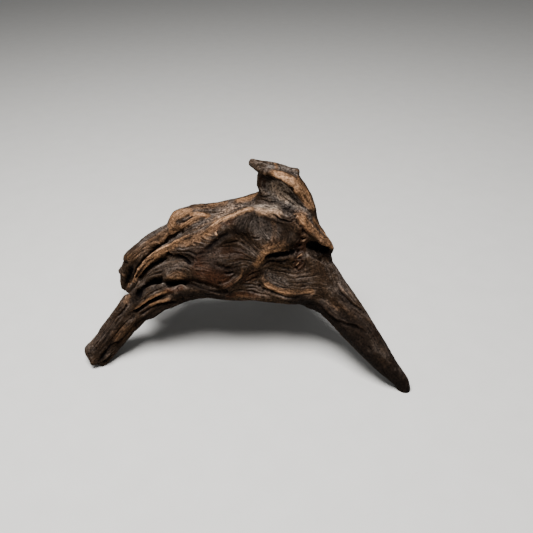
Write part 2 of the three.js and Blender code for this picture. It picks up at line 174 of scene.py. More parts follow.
# Lines of the front as they are seen from the eye: kind, name, half width and height in mm, and the
# pixels that the line goes through. A shelf slopes up to its line from the left of the way it runs, and
# drops off on the right.
FRONT_LINES = [
    # Crest and strands of the front ridge.
    ("shelf", "upper crest of the front ridge", 6.0, 1.2, [
        (196, 238), (205, 233), (214, 227), (223, 220.6), (232, 216.6), (241, 212.6), (251, 210.4),
        (262, 213), (272, 218)]),
    ("shelf", "lower crest of the front ridge", 6.5, 1.9, [
        (204, 229), (194, 234), (184, 238.4), (174, 243.6), (164, 248), (155, 253), (146, 260), (139, 268),
        (133, 278), (129, 286)]),
    ("ridge", "second crest of the strand", 1.3, 0.9, [
        (160, 257), (151, 262), (145, 268), (139, 276), (136, 282)]),
    ("groove", "groove between the crests", 1.0, 1.4, [
        (157, 255.5), (150, 260.5), (144, 266), (138, 274), (134, 281)]),
    ("groove", "gap beside the branch", 0.9, 1.2, [
        (162, 245.4), (154, 250.4), (147, 256), (141, 263), (136, 271), (132, 279), (129, 285)]),
    ("ridge", "lower side of the branch", 3.4, 3.4, [
        (140, 255), (146, 250), (152, 246), (158, 242), (164, 238.4), (169, 236)]),
    ("ridge", "band under the eye", 3.0, 2.8, [
        (166, 236.6), (174, 232), (182, 228), (190, 223.4), (198, 219)]),
    ("groove", "line beside the branch", 0.7, 0.5, [
        (207, 217), (200, 219), (196, 221.5), (189, 226), (182, 231), (175, 235.5), (168, 240)]),
    ("groove", "shade under the crest", 2.0, 2.2, [
        (234, 232), (226, 234), (220, 238), (214, 242), (209, 247), (204, 250)]),
    ("groove", "fold under the crest", 1.0, 1.2, [
        (222, 243), (229, 242.5), (236, 241.5), (243, 243.5), (249, 248)]),
    ("ridge", "rib on the knobbly top", 1.1, 1.0, [(190, 234), (196, 234), (199.5, 231), (200.5, 228)]),
    ("groove", "nick in the knobbly top", 0.9, 1.2, [(196, 227.6), (200, 227), (202, 225.6)]),
    ("pit", "first pit of the knobbly top", 1.3, 1.2, [(203, 221)]),
    ("pit", "second pit of the knobbly top", 1.2, 1.2, [(206.5, 223.4)]),
    ("pit", "third pit of the knobbly top", 1.1, 0.9, [(210, 219)]),
    ("pit", "fourth pit of the knobbly top", 1.2, 0.9, [(213, 224)]),
    ("groove", "wrinkle of the top", 0.8, 0.7, [(231, 210), (236, 209.5), (240, 207.5), (246, 207)]),
    ("groove", "upper wrinkle of the top", 0.8, 0.6, [(228, 206.5), (234, 205), (242, 204), (250, 203.5)]),
    ("groove", "lower wrinkle of the top", 0.8, 0.6, [
        (212, 213.5), (220, 212), (228, 211.5), (235, 212.5)]),
    ("groove", "short wrinkle of the top", 0.8, 0.7, [(209, 217.5), (214, 217.5), (219, 216)]),
    # Frayed fibres under the crest.
    ("groove", "first frayed gap", 0.7, 0.8, [(196, 240), (203, 242.5), (210, 244.5)]),
    ("groove", "second frayed gap", 0.7, 0.8, [(199, 237), (206, 240), (213, 241.5)]),
    ("groove", "third frayed gap", 0.6, 0.8, [(203, 234.3), (210, 236.5), (216, 238.5)]),
    ("groove", "fourth frayed gap", 0.7, 0.8, [(194, 245), (201, 246.5), (207, 247.5)]),
    ("ridge", "first frayed fibre", 0.6, 0.7, [(200, 235.7), (207, 238.3), (214, 240)]),
    ("ridge", "second frayed fibre", 0.6, 0.7, [(196, 238.3), (204, 241.3), (211, 243)]),
    ("ridge", "third frayed fibre", 0.9, 1.1, [(192, 247), (200, 248.6), (206, 246), (210, 243.5)]),
    # The branch behind the ridge.
    ("ridge", "upper lid of the eye", 1.6, 0.9, [(176, 221), (183, 216.6), (190, 213.8), (198, 213.5)]),
    ("groove", "lower lid of the eye", 0.9, 1.4, [(180, 222.6), (186, 221), (190, 218.6), (194, 216.8)]),
    ("groove", "upper line of the eye", 0.7, 0.6, [(184, 218.8), (188, 216.5), (192, 215.4)]),
    ("ridge", "bright rib of the branch", 2.0, 1.1, [
        (176, 226), (186, 223), (194, 218.4), (203, 215.5), (210, 216.4)]),
    ("groove", "line under the knob", 0.9, 0.8, [(170, 229.4), (177, 229.6), (184, 227), (190, 222.6)]),
    ("groove", "first line of the branch", 0.9, 1.0, [
        (131, 262), (138, 254), (146, 250), (154, 246.5), (162, 243), (170, 237.6)]),
    ("groove", "second line of the branch", 0.8, 0.8, [
        (128, 256), (136, 249.5), (145, 244), (154, 239), (163, 233.5)]),
    ("groove", "third line of the branch", 0.7, 0.7, [(150, 247), (157, 243), (164, 239), (171, 234)]),
    ("groove", "fourth line of the branch", 0.7, 0.6, [(158, 235.6), (163, 231), (168, 227.6)]),
    ("ridge", "rib of the branch", 1.6, 0.7, [
        (133, 256), (142, 249.6), (152, 244.4), (161, 239.6), (169, 234.6)]),
    ("ridge", "lower edge of the branch", 1.2, 0.8, [(139, 261), (145, 254.6), (152, 250), (160, 245)]),
    ("groove", "notch in the branch's end", 1.2, 1.6, [(122.6, 262.6), (126, 262.8), (129, 264.4)]),
    ("ridge", "stub at the branch's end", 1.4, 1.6, [(122, 271), (124, 275), (124.6, 281)]),
    ("groove", "hollow end of the branch", 2.4, 3.2, [
        (131.6, 266), (130.4, 272), (128.6, 279), (127, 286)]),
    ("groove", "groove above the hollow end", 1.2, 0.7, [(140, 257), (134, 263), (131, 270), (130, 278)]),
    # Middle strand and the gaps round it.
    ("ridge", "crest of the middle strand", 1.8, 1.0, [
        (192, 267), (181, 262.6), (171, 262.5), (160, 266), (151, 272), (143, 279), (138, 284.6)]),
    ("groove", "crack over the middle strand", 1.3, 2.6, [
        (193, 264), (189, 262), (185, 259), (180, 256.9), (173, 257.6)]),
    ("groove", "gap under the strand", 1.5, 2.8, [
        (167, 257.4), (160, 261.5), (153, 264.5), (146, 270), (140, 278)]),
    ("pit", "knot hole", 2.2, 4.5, [(169.4, 254.6)]),
    ("groove", "upper fold of the bulge", 1.0, 1.4, [
        (172, 250.4), (181, 252), (189, 252), (196, 255), (203, 252.5), (210, 251)]),
    ("groove", "line in the upper fold", 0.8, 0.9, [(176, 247), (184, 248.5), (192, 246), (199, 248.5)]),
    ("groove", "lower fold of the bulge", 0.9, 0.9, [(178, 254.4), (186, 254.8), (193, 258), (199, 261.6)]),
    ("groove", "crack of the middle strand", 0.9, 1.4, [
        (165, 272.3), (157, 272.6), (150, 276), (145, 281)]),
    ("groove", "line of the middle strand", 0.8, 0.8, [(162, 268), (153, 271.4), (144, 279)]),
    ("groove", "line above the lump", 0.8, 0.7, [(165, 268.4), (174, 266.6), (184, 267.6), (192, 271.6)]),
    ("groove", "hole under the middle strand", 3.0, 4.4, [
        (163, 281.6), (155, 283.6), (147, 287), (141, 292), (138, 298)]),
    ("groove", "crack under the lump", 1.9, 3.4, [(164, 283), (172, 284), (180, 283.4), (188, 283.6)]),
    ("groove", "line under the bulge", 1.0, 1.6, [
        (186, 283.6), (194, 285), (203, 288), (212, 291.4), (222, 293), (231, 292.4)]),
    ("pit", "square hole", 1.8, 2.6, [(170.6, 284.6)]),
    ("ridge", "fold of the lower strand", 1.3, 2.0, [
        (167, 289), (172, 290.4), (177, 288), (182, 286.6), (188, 289)]),
    ("groove", "line in the lump", 0.7, 0.5, [(170, 276.6), (176, 273.6), (182, 274.6)]),
    ("groove", "second line in the lump", 0.7, 0.5, [(172, 279), (178, 276.6), (184, 278)]),
    # Bulge of the trunk, with its flowing folds.
    ("shelf", "arc of the bulge", 4.0, 1.3, [
        (214, 290), (222, 288.5), (230, 285), (237, 280.4), (241.4, 275), (243.6, 268)]),
    ("groove", "line inside the arc", 1.0, 1.0, [(238, 270), (234, 276), (228, 280.6), (221, 284)]),
    ("groove", "slit of the bulge", 1.0, 1.6, [(223, 273), (229, 273.5), (235, 272.2)]),
    ("groove", "dark recess of the bulge", 1.6, 1.6, [
        (214, 266), (221, 266.5), (227, 268.2), (236, 267.6)]),
    ("groove", "first wave of the bulge", 0.9, 0.6, [
        (226, 262), (236, 261.3), (243, 260), (250, 260.5), (256, 264)]),
    ("groove", "second wave of the bulge", 0.9, 0.4, [
        (222, 253), (231, 253), (240, 253.6), (248, 257.4), (256, 261)]),
    ("groove", "third wave of the bulge", 0.9, 0.4, [
        (216, 247.6), (225, 247), (235, 247.2), (243, 250), (250, 254.6)]),
    ("ridge", "first swell of the bulge", 1.6, 0.2, [
        (222, 250), (232, 249.6), (241, 251.4), (249, 255), (257, 259)]),
    ("ridge", "second swell of the bulge", 1.6, 0.2, [
        (220, 257.4), (231, 257), (240, 256.4), (248, 258.4), (255, 262)]),
    ("ridge", "third swell of the bulge", 1.6, 0.2, [
        (226, 265), (236, 264.8), (243, 263), (250, 264), (256, 268)]),
    ("groove", "first wave left of the bulge", 0.8, 0.35, [(200, 258), (208, 257.6), (217, 259.6)]),
    ("groove", "second wave left of the bulge", 0.8, 0.35, [(194, 265), (203, 264), (212, 265.4)]),
    ("groove", "third wave left of the bulge", 0.8, 0.35, [
        (190, 271), (200, 271.6), (209, 273), (218, 275.4)]),
    ("groove", "fourth wave left of the bulge", 0.8, 0.4, [
        (194, 278), (204, 279), (212, 281.6), (217, 285)]),
    ("pit", "dark spot by the arc", 1.3, 1.4, [(219.6, 283.4)]),
    ("groove", "line over the red rib", 0.9, 1.2, [(247, 276.4), (254, 272.2), (262, 269.6)]),
    ("ridge", "red rib", 1.1, 0.9, [(246, 281), (253, 276.6), (259, 273.2)]),
    ("groove", "line under the red rib", 0.8, 1.0, [
        (243, 283.4), (249, 280.4), (255, 277.6), (260, 276.6)]),
    ("groove", "first line of the belly", 0.9, 0.9, [(236, 285), (246, 284.2), (253, 285), (259, 286.6)]),
    ("groove", "second line of the belly", 0.8, 0.9, [(240, 289), (250, 288), (256, 289), (263, 292)]),
    ("groove", "third line of the belly", 0.8, 0.9, [
        (226, 293.6), (236, 290.4), (247, 290.8), (258, 293), (270, 296)]),
    ("pit", "dark spot under the rim", 1.4, 1.8, [(259.4, 286)]),
    # Grey face, its waves and the cleft.
    ("shelf", "upper edge of the grey face", 5.0, 0.9, [
        (272, 218), (280, 221.6), (290, 223), (298, 219.6)]),
    ("groove", "outer wave", 0.9, 1.0, [
        (228, 226), (234, 231), (240, 236), (246, 241), (252, 246), (257, 251.6), (263, 256)]),
    ("ridge", "rib between the waves", 0.9, 0.5, [
        (232, 232), (238, 235.2), (244, 239.6), (250, 245.4), (255, 250.6)]),
    ("groove", "third wave", 0.7, 0.6, [
        (224, 228), (231, 230.6), (239, 237), (244, 241.8), (250, 248.6), (256, 254)]),
    ("groove", "inner wave", 0.8, 0.8, [
        (226, 233), (233, 234.6), (239, 240), (245, 246), (251, 250.4), (257, 256)]),
    ("groove", "hole in the grey face", 0.8, 1.2, [(252.6, 237), (256.5, 238.6), (260.4, 237.4)]),
    ("groove", "crack in the grey face", 0.8, 1.3, [(260.5, 234.6), (264, 238), (267.5, 240.8)]),
    ("groove", "first streak of the grey face", 0.7, 0.5, [(248, 214), (243, 221), (240, 229)]),
    ("groove", "second streak of the grey face", 0.7, 0.45, [(254, 216), (250, 224), (249, 232)]),
    ("groove", "third streak of the grey face", 0.6, 0.45, [
        (260, 216), (264, 224), (270, 231), (277, 238)]),
    ("groove", "fourth streak of the grey face", 0.6, 0.4, [(268, 219), (273, 227), (280, 235)]),
    ("groove", "fifth streak of the grey face", 0.7, 0.5, [(279, 223), (285, 230), (288, 238), (287, 244)]),
    ("groove", "sixth streak of the grey face", 0.5, 0.3, [
        (257, 215.6), (258, 223), (262, 232), (268, 240)]),
    ("groove", "seventh streak of the grey face", 0.5, 0.3, [
        (264, 216.6), (268, 225), (275, 233), (281, 240)]),
    ("groove", "eighth streak of the grey face", 0.5, 0.3, [
        (274, 221.6), (280, 229), (283, 237), (281, 244)]),
    ("groove", "ninth streak of the grey face", 0.5, 0.3, [(245, 213), (239, 219), (236, 226)]),
    ("groove", "tenth streak of the grey face", 0.5, 0.3, [(286, 225), (291, 232), (293, 240), (291, 246)]),
    ("ridge", "swell of the grey face", 2.6, 0.6, [(270, 224), (274, 232), (272, 241)]),
    ("groove", "cleft", 2.0, 3.2, [
        (266, 256.6), (272, 255.5), (280, 254.6), (288, 254), (293, 251.6), (298, 249)]),
    ("groove", "lower line of the cleft", 1.2, 2.0, [
        (260, 267.4), (266, 264.5), (270, 262), (276, 261), (281, 262), (287, 260.5), (293, 257.5)]),
    ("ridge", "orange edge of the cleft", 1.6, 1.0, [
        (256, 266), (262, 260), (266, 253.4), (275, 250.6), (286, 248.6)]),
    ("groove", "crack across the top", 0.8, 1.9, [
        (270, 215.2), (274, 215.6), (277, 217.6), (280, 219.4), (284, 220.2), (289, 222), (293, 221),
        (297, 218.6)]),
    ("ridge", "lip of the crack", 1.0, 0.4, [(283, 223.6), (290, 224), (296, 221.8)]),
    ("pit", "first pit by the crown", 1.1, 1.4, [(286, 209.4)]),
    ("pit", "second pit by the crown", 1.1, 1.2, [(289.6, 208.2)]),
    ("pit", "third pit by the crown", 1.2, 1.0, [(284, 213)]),
    ("groove", "line by the crown", 0.8, 0.9, [(281, 212), (286, 214.6), (292, 214.6), (296, 212)]),
    # Splinters between the grey face and the beak.
    ("groove", "first broken end", 0.9, 1.9, [(301, 233.6), (303.4, 232), (306, 230.6)]),
    ("groove", "second broken end", 1.0, 2.0, [(301, 237.6), (304, 238.4), (306.4, 237.6)]),
    ("ridge", "first splinter", 0.8, 1.1, [(300, 236.2), (303, 235), (306.4, 233.6)]),
    ("ridge", "second splinter", 0.9, 1.1, [(299, 242), (303, 241), (307, 238.6)]),
    ("pit", "first hole of the splinters", 1.3, 2.2, [(300, 245.6)]),
    ("pit", "second hole of the splinters", 1.3, 2.2, [(298.4, 251.4)]),
    ("pit", "third hole of the splinters", 1.2, 2.0, [(299.4, 259)]),
    ("pit", "fourth hole of the splinters", 1.2, 1.8, [(296.4, 268)]),
    ("pit", "fifth hole of the splinters", 1.1, 1.6, [(302.4, 262)]),
    ("ridge", "third splinter", 0.8, 1.2, [(296.4, 257.8), (299, 256), (302.4, 254)]),
    ("ridge", "fourth splinter", 0.8, 1.1, [(295.4, 265.4), (297.6, 263.6), (299.4, 262)]),
    ("ridge", "fifth splinter", 0.8, 1.1, [(298, 269.6), (301.6, 266.4), (304, 264)]),
    ("ridge", "sixth splinter", 0.8, 1.1, [(296, 249), (299.6, 248), (302.6, 246.4)]),
    ("ridge", "splinter across the cleft", 0.9, 2.6, [(288, 249.6), (290, 253), (290.4, 257)]),
    ("ridge", "second splinter across the cleft", 0.8, 2.4, [(293, 248), (295.4, 251), (296, 255)]),
    ("ridge", "seventh splinter", 0.8, 0.8, [(294, 243.4), (297.6, 240.6), (300, 237)]),
    ("ridge", "eighth splinter", 0.8, 1.2, [(297.6, 228), (300.6, 229), (303, 227.6)]),
    ("pit", "sixth hole of the splinters", 1.1, 1.6, [(297, 243.6)]),
    ("pit", "seventh hole of the splinters", 1.1, 1.6, [(302.6, 250)]),
    ("pit", "eighth hole of the splinters", 1.0, 1.4, [(300.4, 227)]),
    ("pit", "ninth hole of the splinters", 1.0, 1.4, [(293.6, 262)]),
    # Second hollow, with fine waves, and its orange rim.
    ("shelf", "rim of the second hollow", 5.0, 1.2, [
        (259, 272), (262, 280), (267, 286), (275, 289.4), (283, 292.4), (292, 294.4), (302, 294.4),
        (313, 292)]),
    ("groove", "line under the rim", 1.2, 1.4, [
        (258, 285), (262, 288.5), (268, 290.8), (276, 294), (286, 297), (298, 297.8), (310, 296.6)]),
    ("groove", "line inside the rim", 1.2, 1.1, [
        (266, 271), (266, 278), (271, 282.6), (279, 285.8), (288, 288.6)]),
    ("groove", "first wave of the hollow", 0.7, 0.5, [
        (272, 265), (280, 266.5), (288, 268.5), (297, 270.4), (306, 268), (315, 264)]),
    ("groove", "second wave of the hollow", 0.7, 0.45, [
        (268, 269), (275, 271), (283, 271.5), (291, 274), (299, 273.5), (308, 272), (318, 270)]),
    ("groove", "third wave of the hollow", 0.7, 0.45, [
        (282, 276.6), (293, 278.2), (302, 277.5), (312, 276.5), (322, 276)]),
    ("groove", "fourth wave of the hollow", 0.7, 0.4, [
        (286, 281.6), (295, 283.2), (304, 282.6), (314, 281.2), (326, 283)]),
    ("groove", "fifth wave of the hollow", 0.7, 0.4, [
        (292, 286.6), (301, 287.4), (311, 286.3), (322, 287.6)]),
    ("ridge", "swell in the hollow", 1.4, 0.4, [
        (270, 266.6), (279, 268.8), (288, 271), (296, 272.2), (305, 270)]),
    ("groove", "line down the splinters", 1.0, 1.0, [(305, 246), (305.4, 256), (305, 265), (301, 272)]),
    # Crown: lip, corner, neck and flute.
    ("groove", "line along the lip", 0.7, 0.6, [
        (268, 167), (276, 169), (284, 170.4), (291, 172.6), (297, 176.6)]),
    ("groove", "hook of the line", 0.7, 0.7, [(282, 169), (287, 171), (291, 170)]),
    ("pit", "pit of the tip", 1.2, 0.9, [(265, 162.6)]),
    ("ridge", "corner of the lip", 1.3, 0.9, [(292, 171), (297, 170.4), (301, 175), (304, 181)]),
    ("shelf", "lower edge of the lip", 5.0, 1.4, [
        (263, 172.6), (270, 175), (278, 179), (285, 184), (291, 190.6), (297, 197.6), (304, 204.6),
        (312, 209)]),
    ("groove", "shade under the lip", 1.0, 0.8, [
        (260, 173.6), (266, 176.4), (272, 179.4), (279, 184), (286, 190), (292, 197), (298, 203.4),
        (305, 209)]),
    ("groove", "line of the brown side", 0.8, 0.8, [(299.6, 181), (304, 188), (308, 195), (310.4, 202)]),
    ("groove", "second line of the brown side", 0.8, 0.6, [(303, 193), (306, 199), (309, 204)]),
    ("pit", "pit of the lip", 1.0, 1.1, [(300.4, 195)]),
    ("groove", "level crack of the neck", 0.8, 1.3, [(260, 195.4), (266, 197), (272, 196.4)]),
    ("groove", "upper crack of the neck", 0.7, 0.8, [(261, 190.6), (266, 191.6), (271, 190.6)]),
    ("groove", "slanting crack of the flute", 0.8, 1.3, [
        (278, 192), (284, 197), (289, 201), (294, 205), (298, 209)]),
    ("groove", "first line of the neck", 0.8, 0.6, [(264, 180), (264, 187), (266, 193)]),
    ("groove", "second line of the neck", 0.8, 0.6, [(270, 181.6), (272, 189), (274, 196)]),
    ("groove", "third line of the neck", 0.8, 0.5, [(277, 186), (279, 192), (282, 200)]),
    ("groove", "fine crack of the flute", 0.7, 0.7, [(288, 193), (290, 199), (291, 205)]),
    ("groove", "second fine crack of the flute", 0.7, 0.7, [(284, 190), (290, 194), (297, 201)]),
    ("groove", "foot of the flute", 1.0, 1.0, [
        (258, 198.6), (268, 201), (277, 202), (284, 205), (291, 208.6)]),
    # Beak.
    ("shelf", "lower edge of the beak", 7.0, 2.4, [
        (294, 209), (298, 217.6), (303, 225), (310, 233), (318, 239.4), (326, 244.6), (333, 248)]),
    ("ridge", "back edge of the beak", 1.4, 0.5, [(313, 218), (319, 228), (326, 237), (333, 245.4)]),
    ("groove", "undercut of the beak", 3.2, 4.6, [(311, 241.4), (317, 245), (323, 248.6), (330, 252.6)]),
    ("groove", "inner end of the undercut", 2.2, 2.6, [(307, 242), (311, 247), (321, 251.6)]),
    ("groove", "line beside the beak", 1.0, 1.5, [(295, 217), (299, 225), (305, 232), (311, 238)]),
    # Left leg.
    ("ridge", "orange ridge", 1.4, 1.6, [
        (166, 291.4), (158, 294), (151, 297.4), (144, 302), (137, 307.6), (132, 311)]),
    ("groove", "line above the orange ridge", 0.9, 1.0, [
        (166, 287.6), (159, 289.6), (152, 293), (146, 298), (138, 303)]),
    ("groove", "upper groove of the leg", 1.6, 3.2, [
        (169, 295), (158, 298), (150, 301.5), (143, 306), (137, 310.4), (131, 312)]),
    ("ridge", "tan rib of the leg", 1.6, 1.2, [
        (170, 299.6), (162, 301), (154, 303), (147, 307), (141, 311), (136, 315)]),
    ("groove", "lower groove of the leg", 1.3, 2.2, [
        (182, 300), (173, 302), (165, 303.5), (157, 305.5), (150, 309), (143, 313), (136, 317)]),
    ("groove", "short groove of the leg", 1.0, 1.7, [(128, 303), (125, 309), (121, 314), (116, 317.4)]),
    ("ridge", "first rib of the leg", 2.0, 0.7, [
        (126, 298), (119, 307), (111, 318), (102, 331), (94, 342), (88, 349.6)]),
    ("groove", "first line of the leg", 0.9, 1.0, [
        (121, 311), (113, 322), (104, 334), (96, 344), (90, 352)]),
    ("ridge", "second rib of the leg", 1.8, 0.7, [
        (131, 316), (122, 325), (113, 335), (104, 346), (97, 356)]),
    ("groove", "second line of the leg", 0.9, 0.9, [
        (129, 319), (119, 329.6), (110, 339.6), (101, 350), (94, 359.6)]),
    ("ridge", "third rib of the leg", 1.6, 0.7, [
        (134, 321), (126, 332), (117, 342), (108, 350.6), (101, 361)]),
    ("groove", "line of the shin", 0.7, 0.9, [(117, 317), (108, 329), (99, 340), (91, 349)]),
    ("groove", "second line of the shin", 0.7, 0.8, [(126, 322), (118, 332), (109, 343), (102, 353)]),
    ("groove", "third line of the shin", 0.7, 0.8, [(133, 326), (126, 336), (118, 344)]),
    ("groove", "nick in the shin's edge", 0.9, 1.6, [(110, 315), (112.6, 317)]),
    ("groove", "second nick in the shin's edge", 0.9, 1.4, [(114.6, 309), (117, 311.4)]),
    ("groove", "fine line of the leg", 0.8, 0.8, [(124, 314), (116, 324), (107, 337), (99, 347)]),
    ("groove", "dark groove of the foot", 2.0, 3.0, [
        (121, 340), (113, 345), (107, 351), (102, 358), (97, 365)]),
    ("groove", "second groove of the foot", 1.5, 2.0, [(114, 353), (108, 359.4), (101, 364.6)]),
    ("ridge", "rib of the foot", 1.0, 1.0, [(116, 347), (110, 353), (104, 361)]),
    # Right leg.
    ("groove", "upper fold of the right leg", 1.1, 1.5, [
        (334, 279), (338, 287), (343, 295.4), (349, 301.4), (356, 306.4), (363, 311.8), (370, 319)]),
    ("groove", "line of the back rib", 0.8, 1.0, [(343, 285), (350, 295), (358, 304), (366, 312)]),
    ("groove", "line of the underside", 0.9, 0.9, [
        (304, 303), (316, 305), (326, 312), (336, 322), (346, 331)]),
    ("groove", "lower line of the right leg", 1.0, 0.7, [(366, 312), (372, 319), (379, 331), (386, 344)]),
    ("ridge", "back rib of the right leg", 1.5, 0.9, [(338, 283), (346, 294), (355, 302.6), (363, 309.6)]),
    ("ridge", "grey crest of the right leg", 1.6, 1.0, [
        (340, 296), (346, 302.6), (354, 309), (363, 315.6), (371, 323), (380, 337), (389, 355)]),
    ("ridge", "lower edge of the right leg", 3.0, 0.8, [
        (304, 296.6), (314, 297.6), (323, 302), (333, 311), (344, 319), (356, 327), (366, 336),
        (375, 350)]),
    ("shelf", "fold of the right leg", 10.0, 2.0, [
        (303, 299.5), (314, 299.5), (322, 304.5), (330, 312), (338, 318.6), (347, 322.4), (355, 324),
        (363, 328.6), (370, 337)]),
    ("groove", "shade under the fold", 1.4, 1.3, [
        (320, 306), (328, 313), (337, 320.6), (346, 325), (355, 326.6), (362, 331), (369, 340)]),
    ("groove", "fine line of the right leg", 0.8, 0.6, [(352, 318), (362, 324), (371, 333), (380, 349)]),
    ("groove", "second fine line of the right leg", 0.8, 0.5, [
        (360, 340), (371, 352), (383, 370), (393, 384)]),
]

# Lines of the back, as [x, z] seen square on from behind.
BACK_LINES = [
    ("groove", "long crack of the back", 1.4, 2.6, [
        (28, 96), (10, 92), (-8, 84), (-26, 78), (-44, 68), (-56, 60)]),
    ("groove", "upper line of the back", 1.1, 1.6, [
        (34, 116), (14, 112), (-6, 106), (-28, 98), (-48, 90), (-66, 80)]),
    ("ridge", "upper rib of the back", 2.2, 1.5, [
        (38, 108), (18, 103), (-4, 97), (-26, 90), (-46, 80), (-62, 68)]),
    ("groove", "lower line of the back", 1.1, 1.6, [(30, 80), (8, 76), (-14, 70), (-36, 62)]),
    ("ridge", "lower rib of the back", 2.0, 1.4, [(34, 86), (14, 84), (-8, 77), (-30, 69), (-48, 61)]),
    ("pit", "knot hole of the back", 3.0, 4.0, [(-22, 74)]),
    ("groove", "lid of the knot hole", 1.1, 1.3, [(-12, 80), (-22, 81), (-32, 76)]),
    ("groove", "split of the back root", 1.3, 2.4, [(38, 92), (43, 74), (46, 56), (50, 38), (56, 20)]),
    ("groove", "second split of the back root", 1.0, 1.6, [
        (52, 84), (54, 66), (54, 46), (60, 24), (64, 10)]),
    ("ridge", "rib of the back root", 1.9, 1.2, [(47, 88), (49, 68), (50, 50), (56, 28), (61, 10)]),
    ("groove", "fold at the top of the root", 1.3, 1.4, [(62, 92), (68, 78), (70, 64)]),
    ("groove", "line behind the crown", 1.1, 1.5, [(54, 160), (50, 148), (45, 134), (40, 120), (36, 108)]),
    ("groove", "second line behind the crown", 1.0, 1.2, [(42, 164), (40, 150), (34, 136), (26, 122)]),
    ("ridge", "rib behind the crown", 1.7, 1.0, [(48, 162), (45, 148), (40, 132), (32, 116)]),
    ("groove", "first line over the neck", 1.0, 1.1, [(37, 162), (34, 155), (32, 146), (30, 134)]),
    ("groove", "second line over the neck", 1.0, 1.1, [(29, 164), (25, 157), (23, 147), (21, 136)]),
    ("ridge", "rib over the neck", 1.6, 0.8, [(33, 163), (30, 156), (28, 147), (26, 135)]),
    ("groove", "line on the back of the lip", 0.9, 0.9, [
        (20, 175), (32, 170), (44, 163), (52, 154), (57, 142), (60, 126)]),
    ("groove", "first line of the branch's back", 1.0, 1.3, [
        (-46, 102), (-62, 92), (-78, 80), (-92, 68), (-104, 52)]),
    ("groove", "second line of the branch's back", 1.0, 1.2, [
        (-40, 96), (-58, 84), (-74, 72), (-88, 60), (-102, 42)]),
    ("ridge", "rib of the branch's back", 1.5, 1.0, [
        (-44, 98), (-60, 88), (-76, 76), (-90, 64), (-104, 47)]),
    ("groove", "first line of the right side", 1.1, 1.3, [
        (66, 104), (76, 90), (88, 72), (100, 56), (112, 42)]),
    ("groove", "second line of the right side", 1.0, 1.1, [(60, 98), (72, 80), (84, 62), (97, 46)]),
]

# Lines of the top, as [x, y] seen from above.
TOP_LINES = [
    ("groove", "first line of the top", 0.9, 0.9, [(34, 16), (16, 20), (-4, 22), (-24, 24), (-42, 28)]),
    ("groove", "second line of the top", 0.9, 1.0, [(28, 8), (10, 12), (-8, 14), (-28, 15), (-48, 18)]),
    ("ridge", "rib of the top", 1.5, 0.8, [(30, 12), (12, 16), (-6, 18), (-26, 19), (-44, 22)]),
    ("groove", "line behind the branch", 1.0, 1.3, [(26, 36), (6, 42), (-16, 46), (-38, 48), (-58, 50)]),
]

# Lines of the underside, as [x, y] seen from below.
UNDER_LINES = [
    ("groove", "first line of the underside", 1.3, 2.0, [
        (60, -6), (40, -8), (16, -6), (-10, -6), (-36, -4), (-60, -2)]),
    ("groove", "second line of the underside", 1.2, 1.8, [(48, 8), (26, 8), (0, 8), (-24, 8), (-48, 10)]),
    ("ridge", "rib of the underside", 2.2, 1.4, [(54, 0), (30, 0), (4, 1), (-22, 1), (-50, 3)]),
    ("groove", "third line of the underside", 1.2, 1.8, [(36, 22), (12, 24), (-12, 24), (-34, 24)]),
    ("ridge", "second rib of the underside", 2.0, 1.2, [(42, 15), (18, 16), (-8, 16), (-32, 17)]),
    ("pit", "knot of the underside", 3.0, 2.6, [(8, 14)]),
]

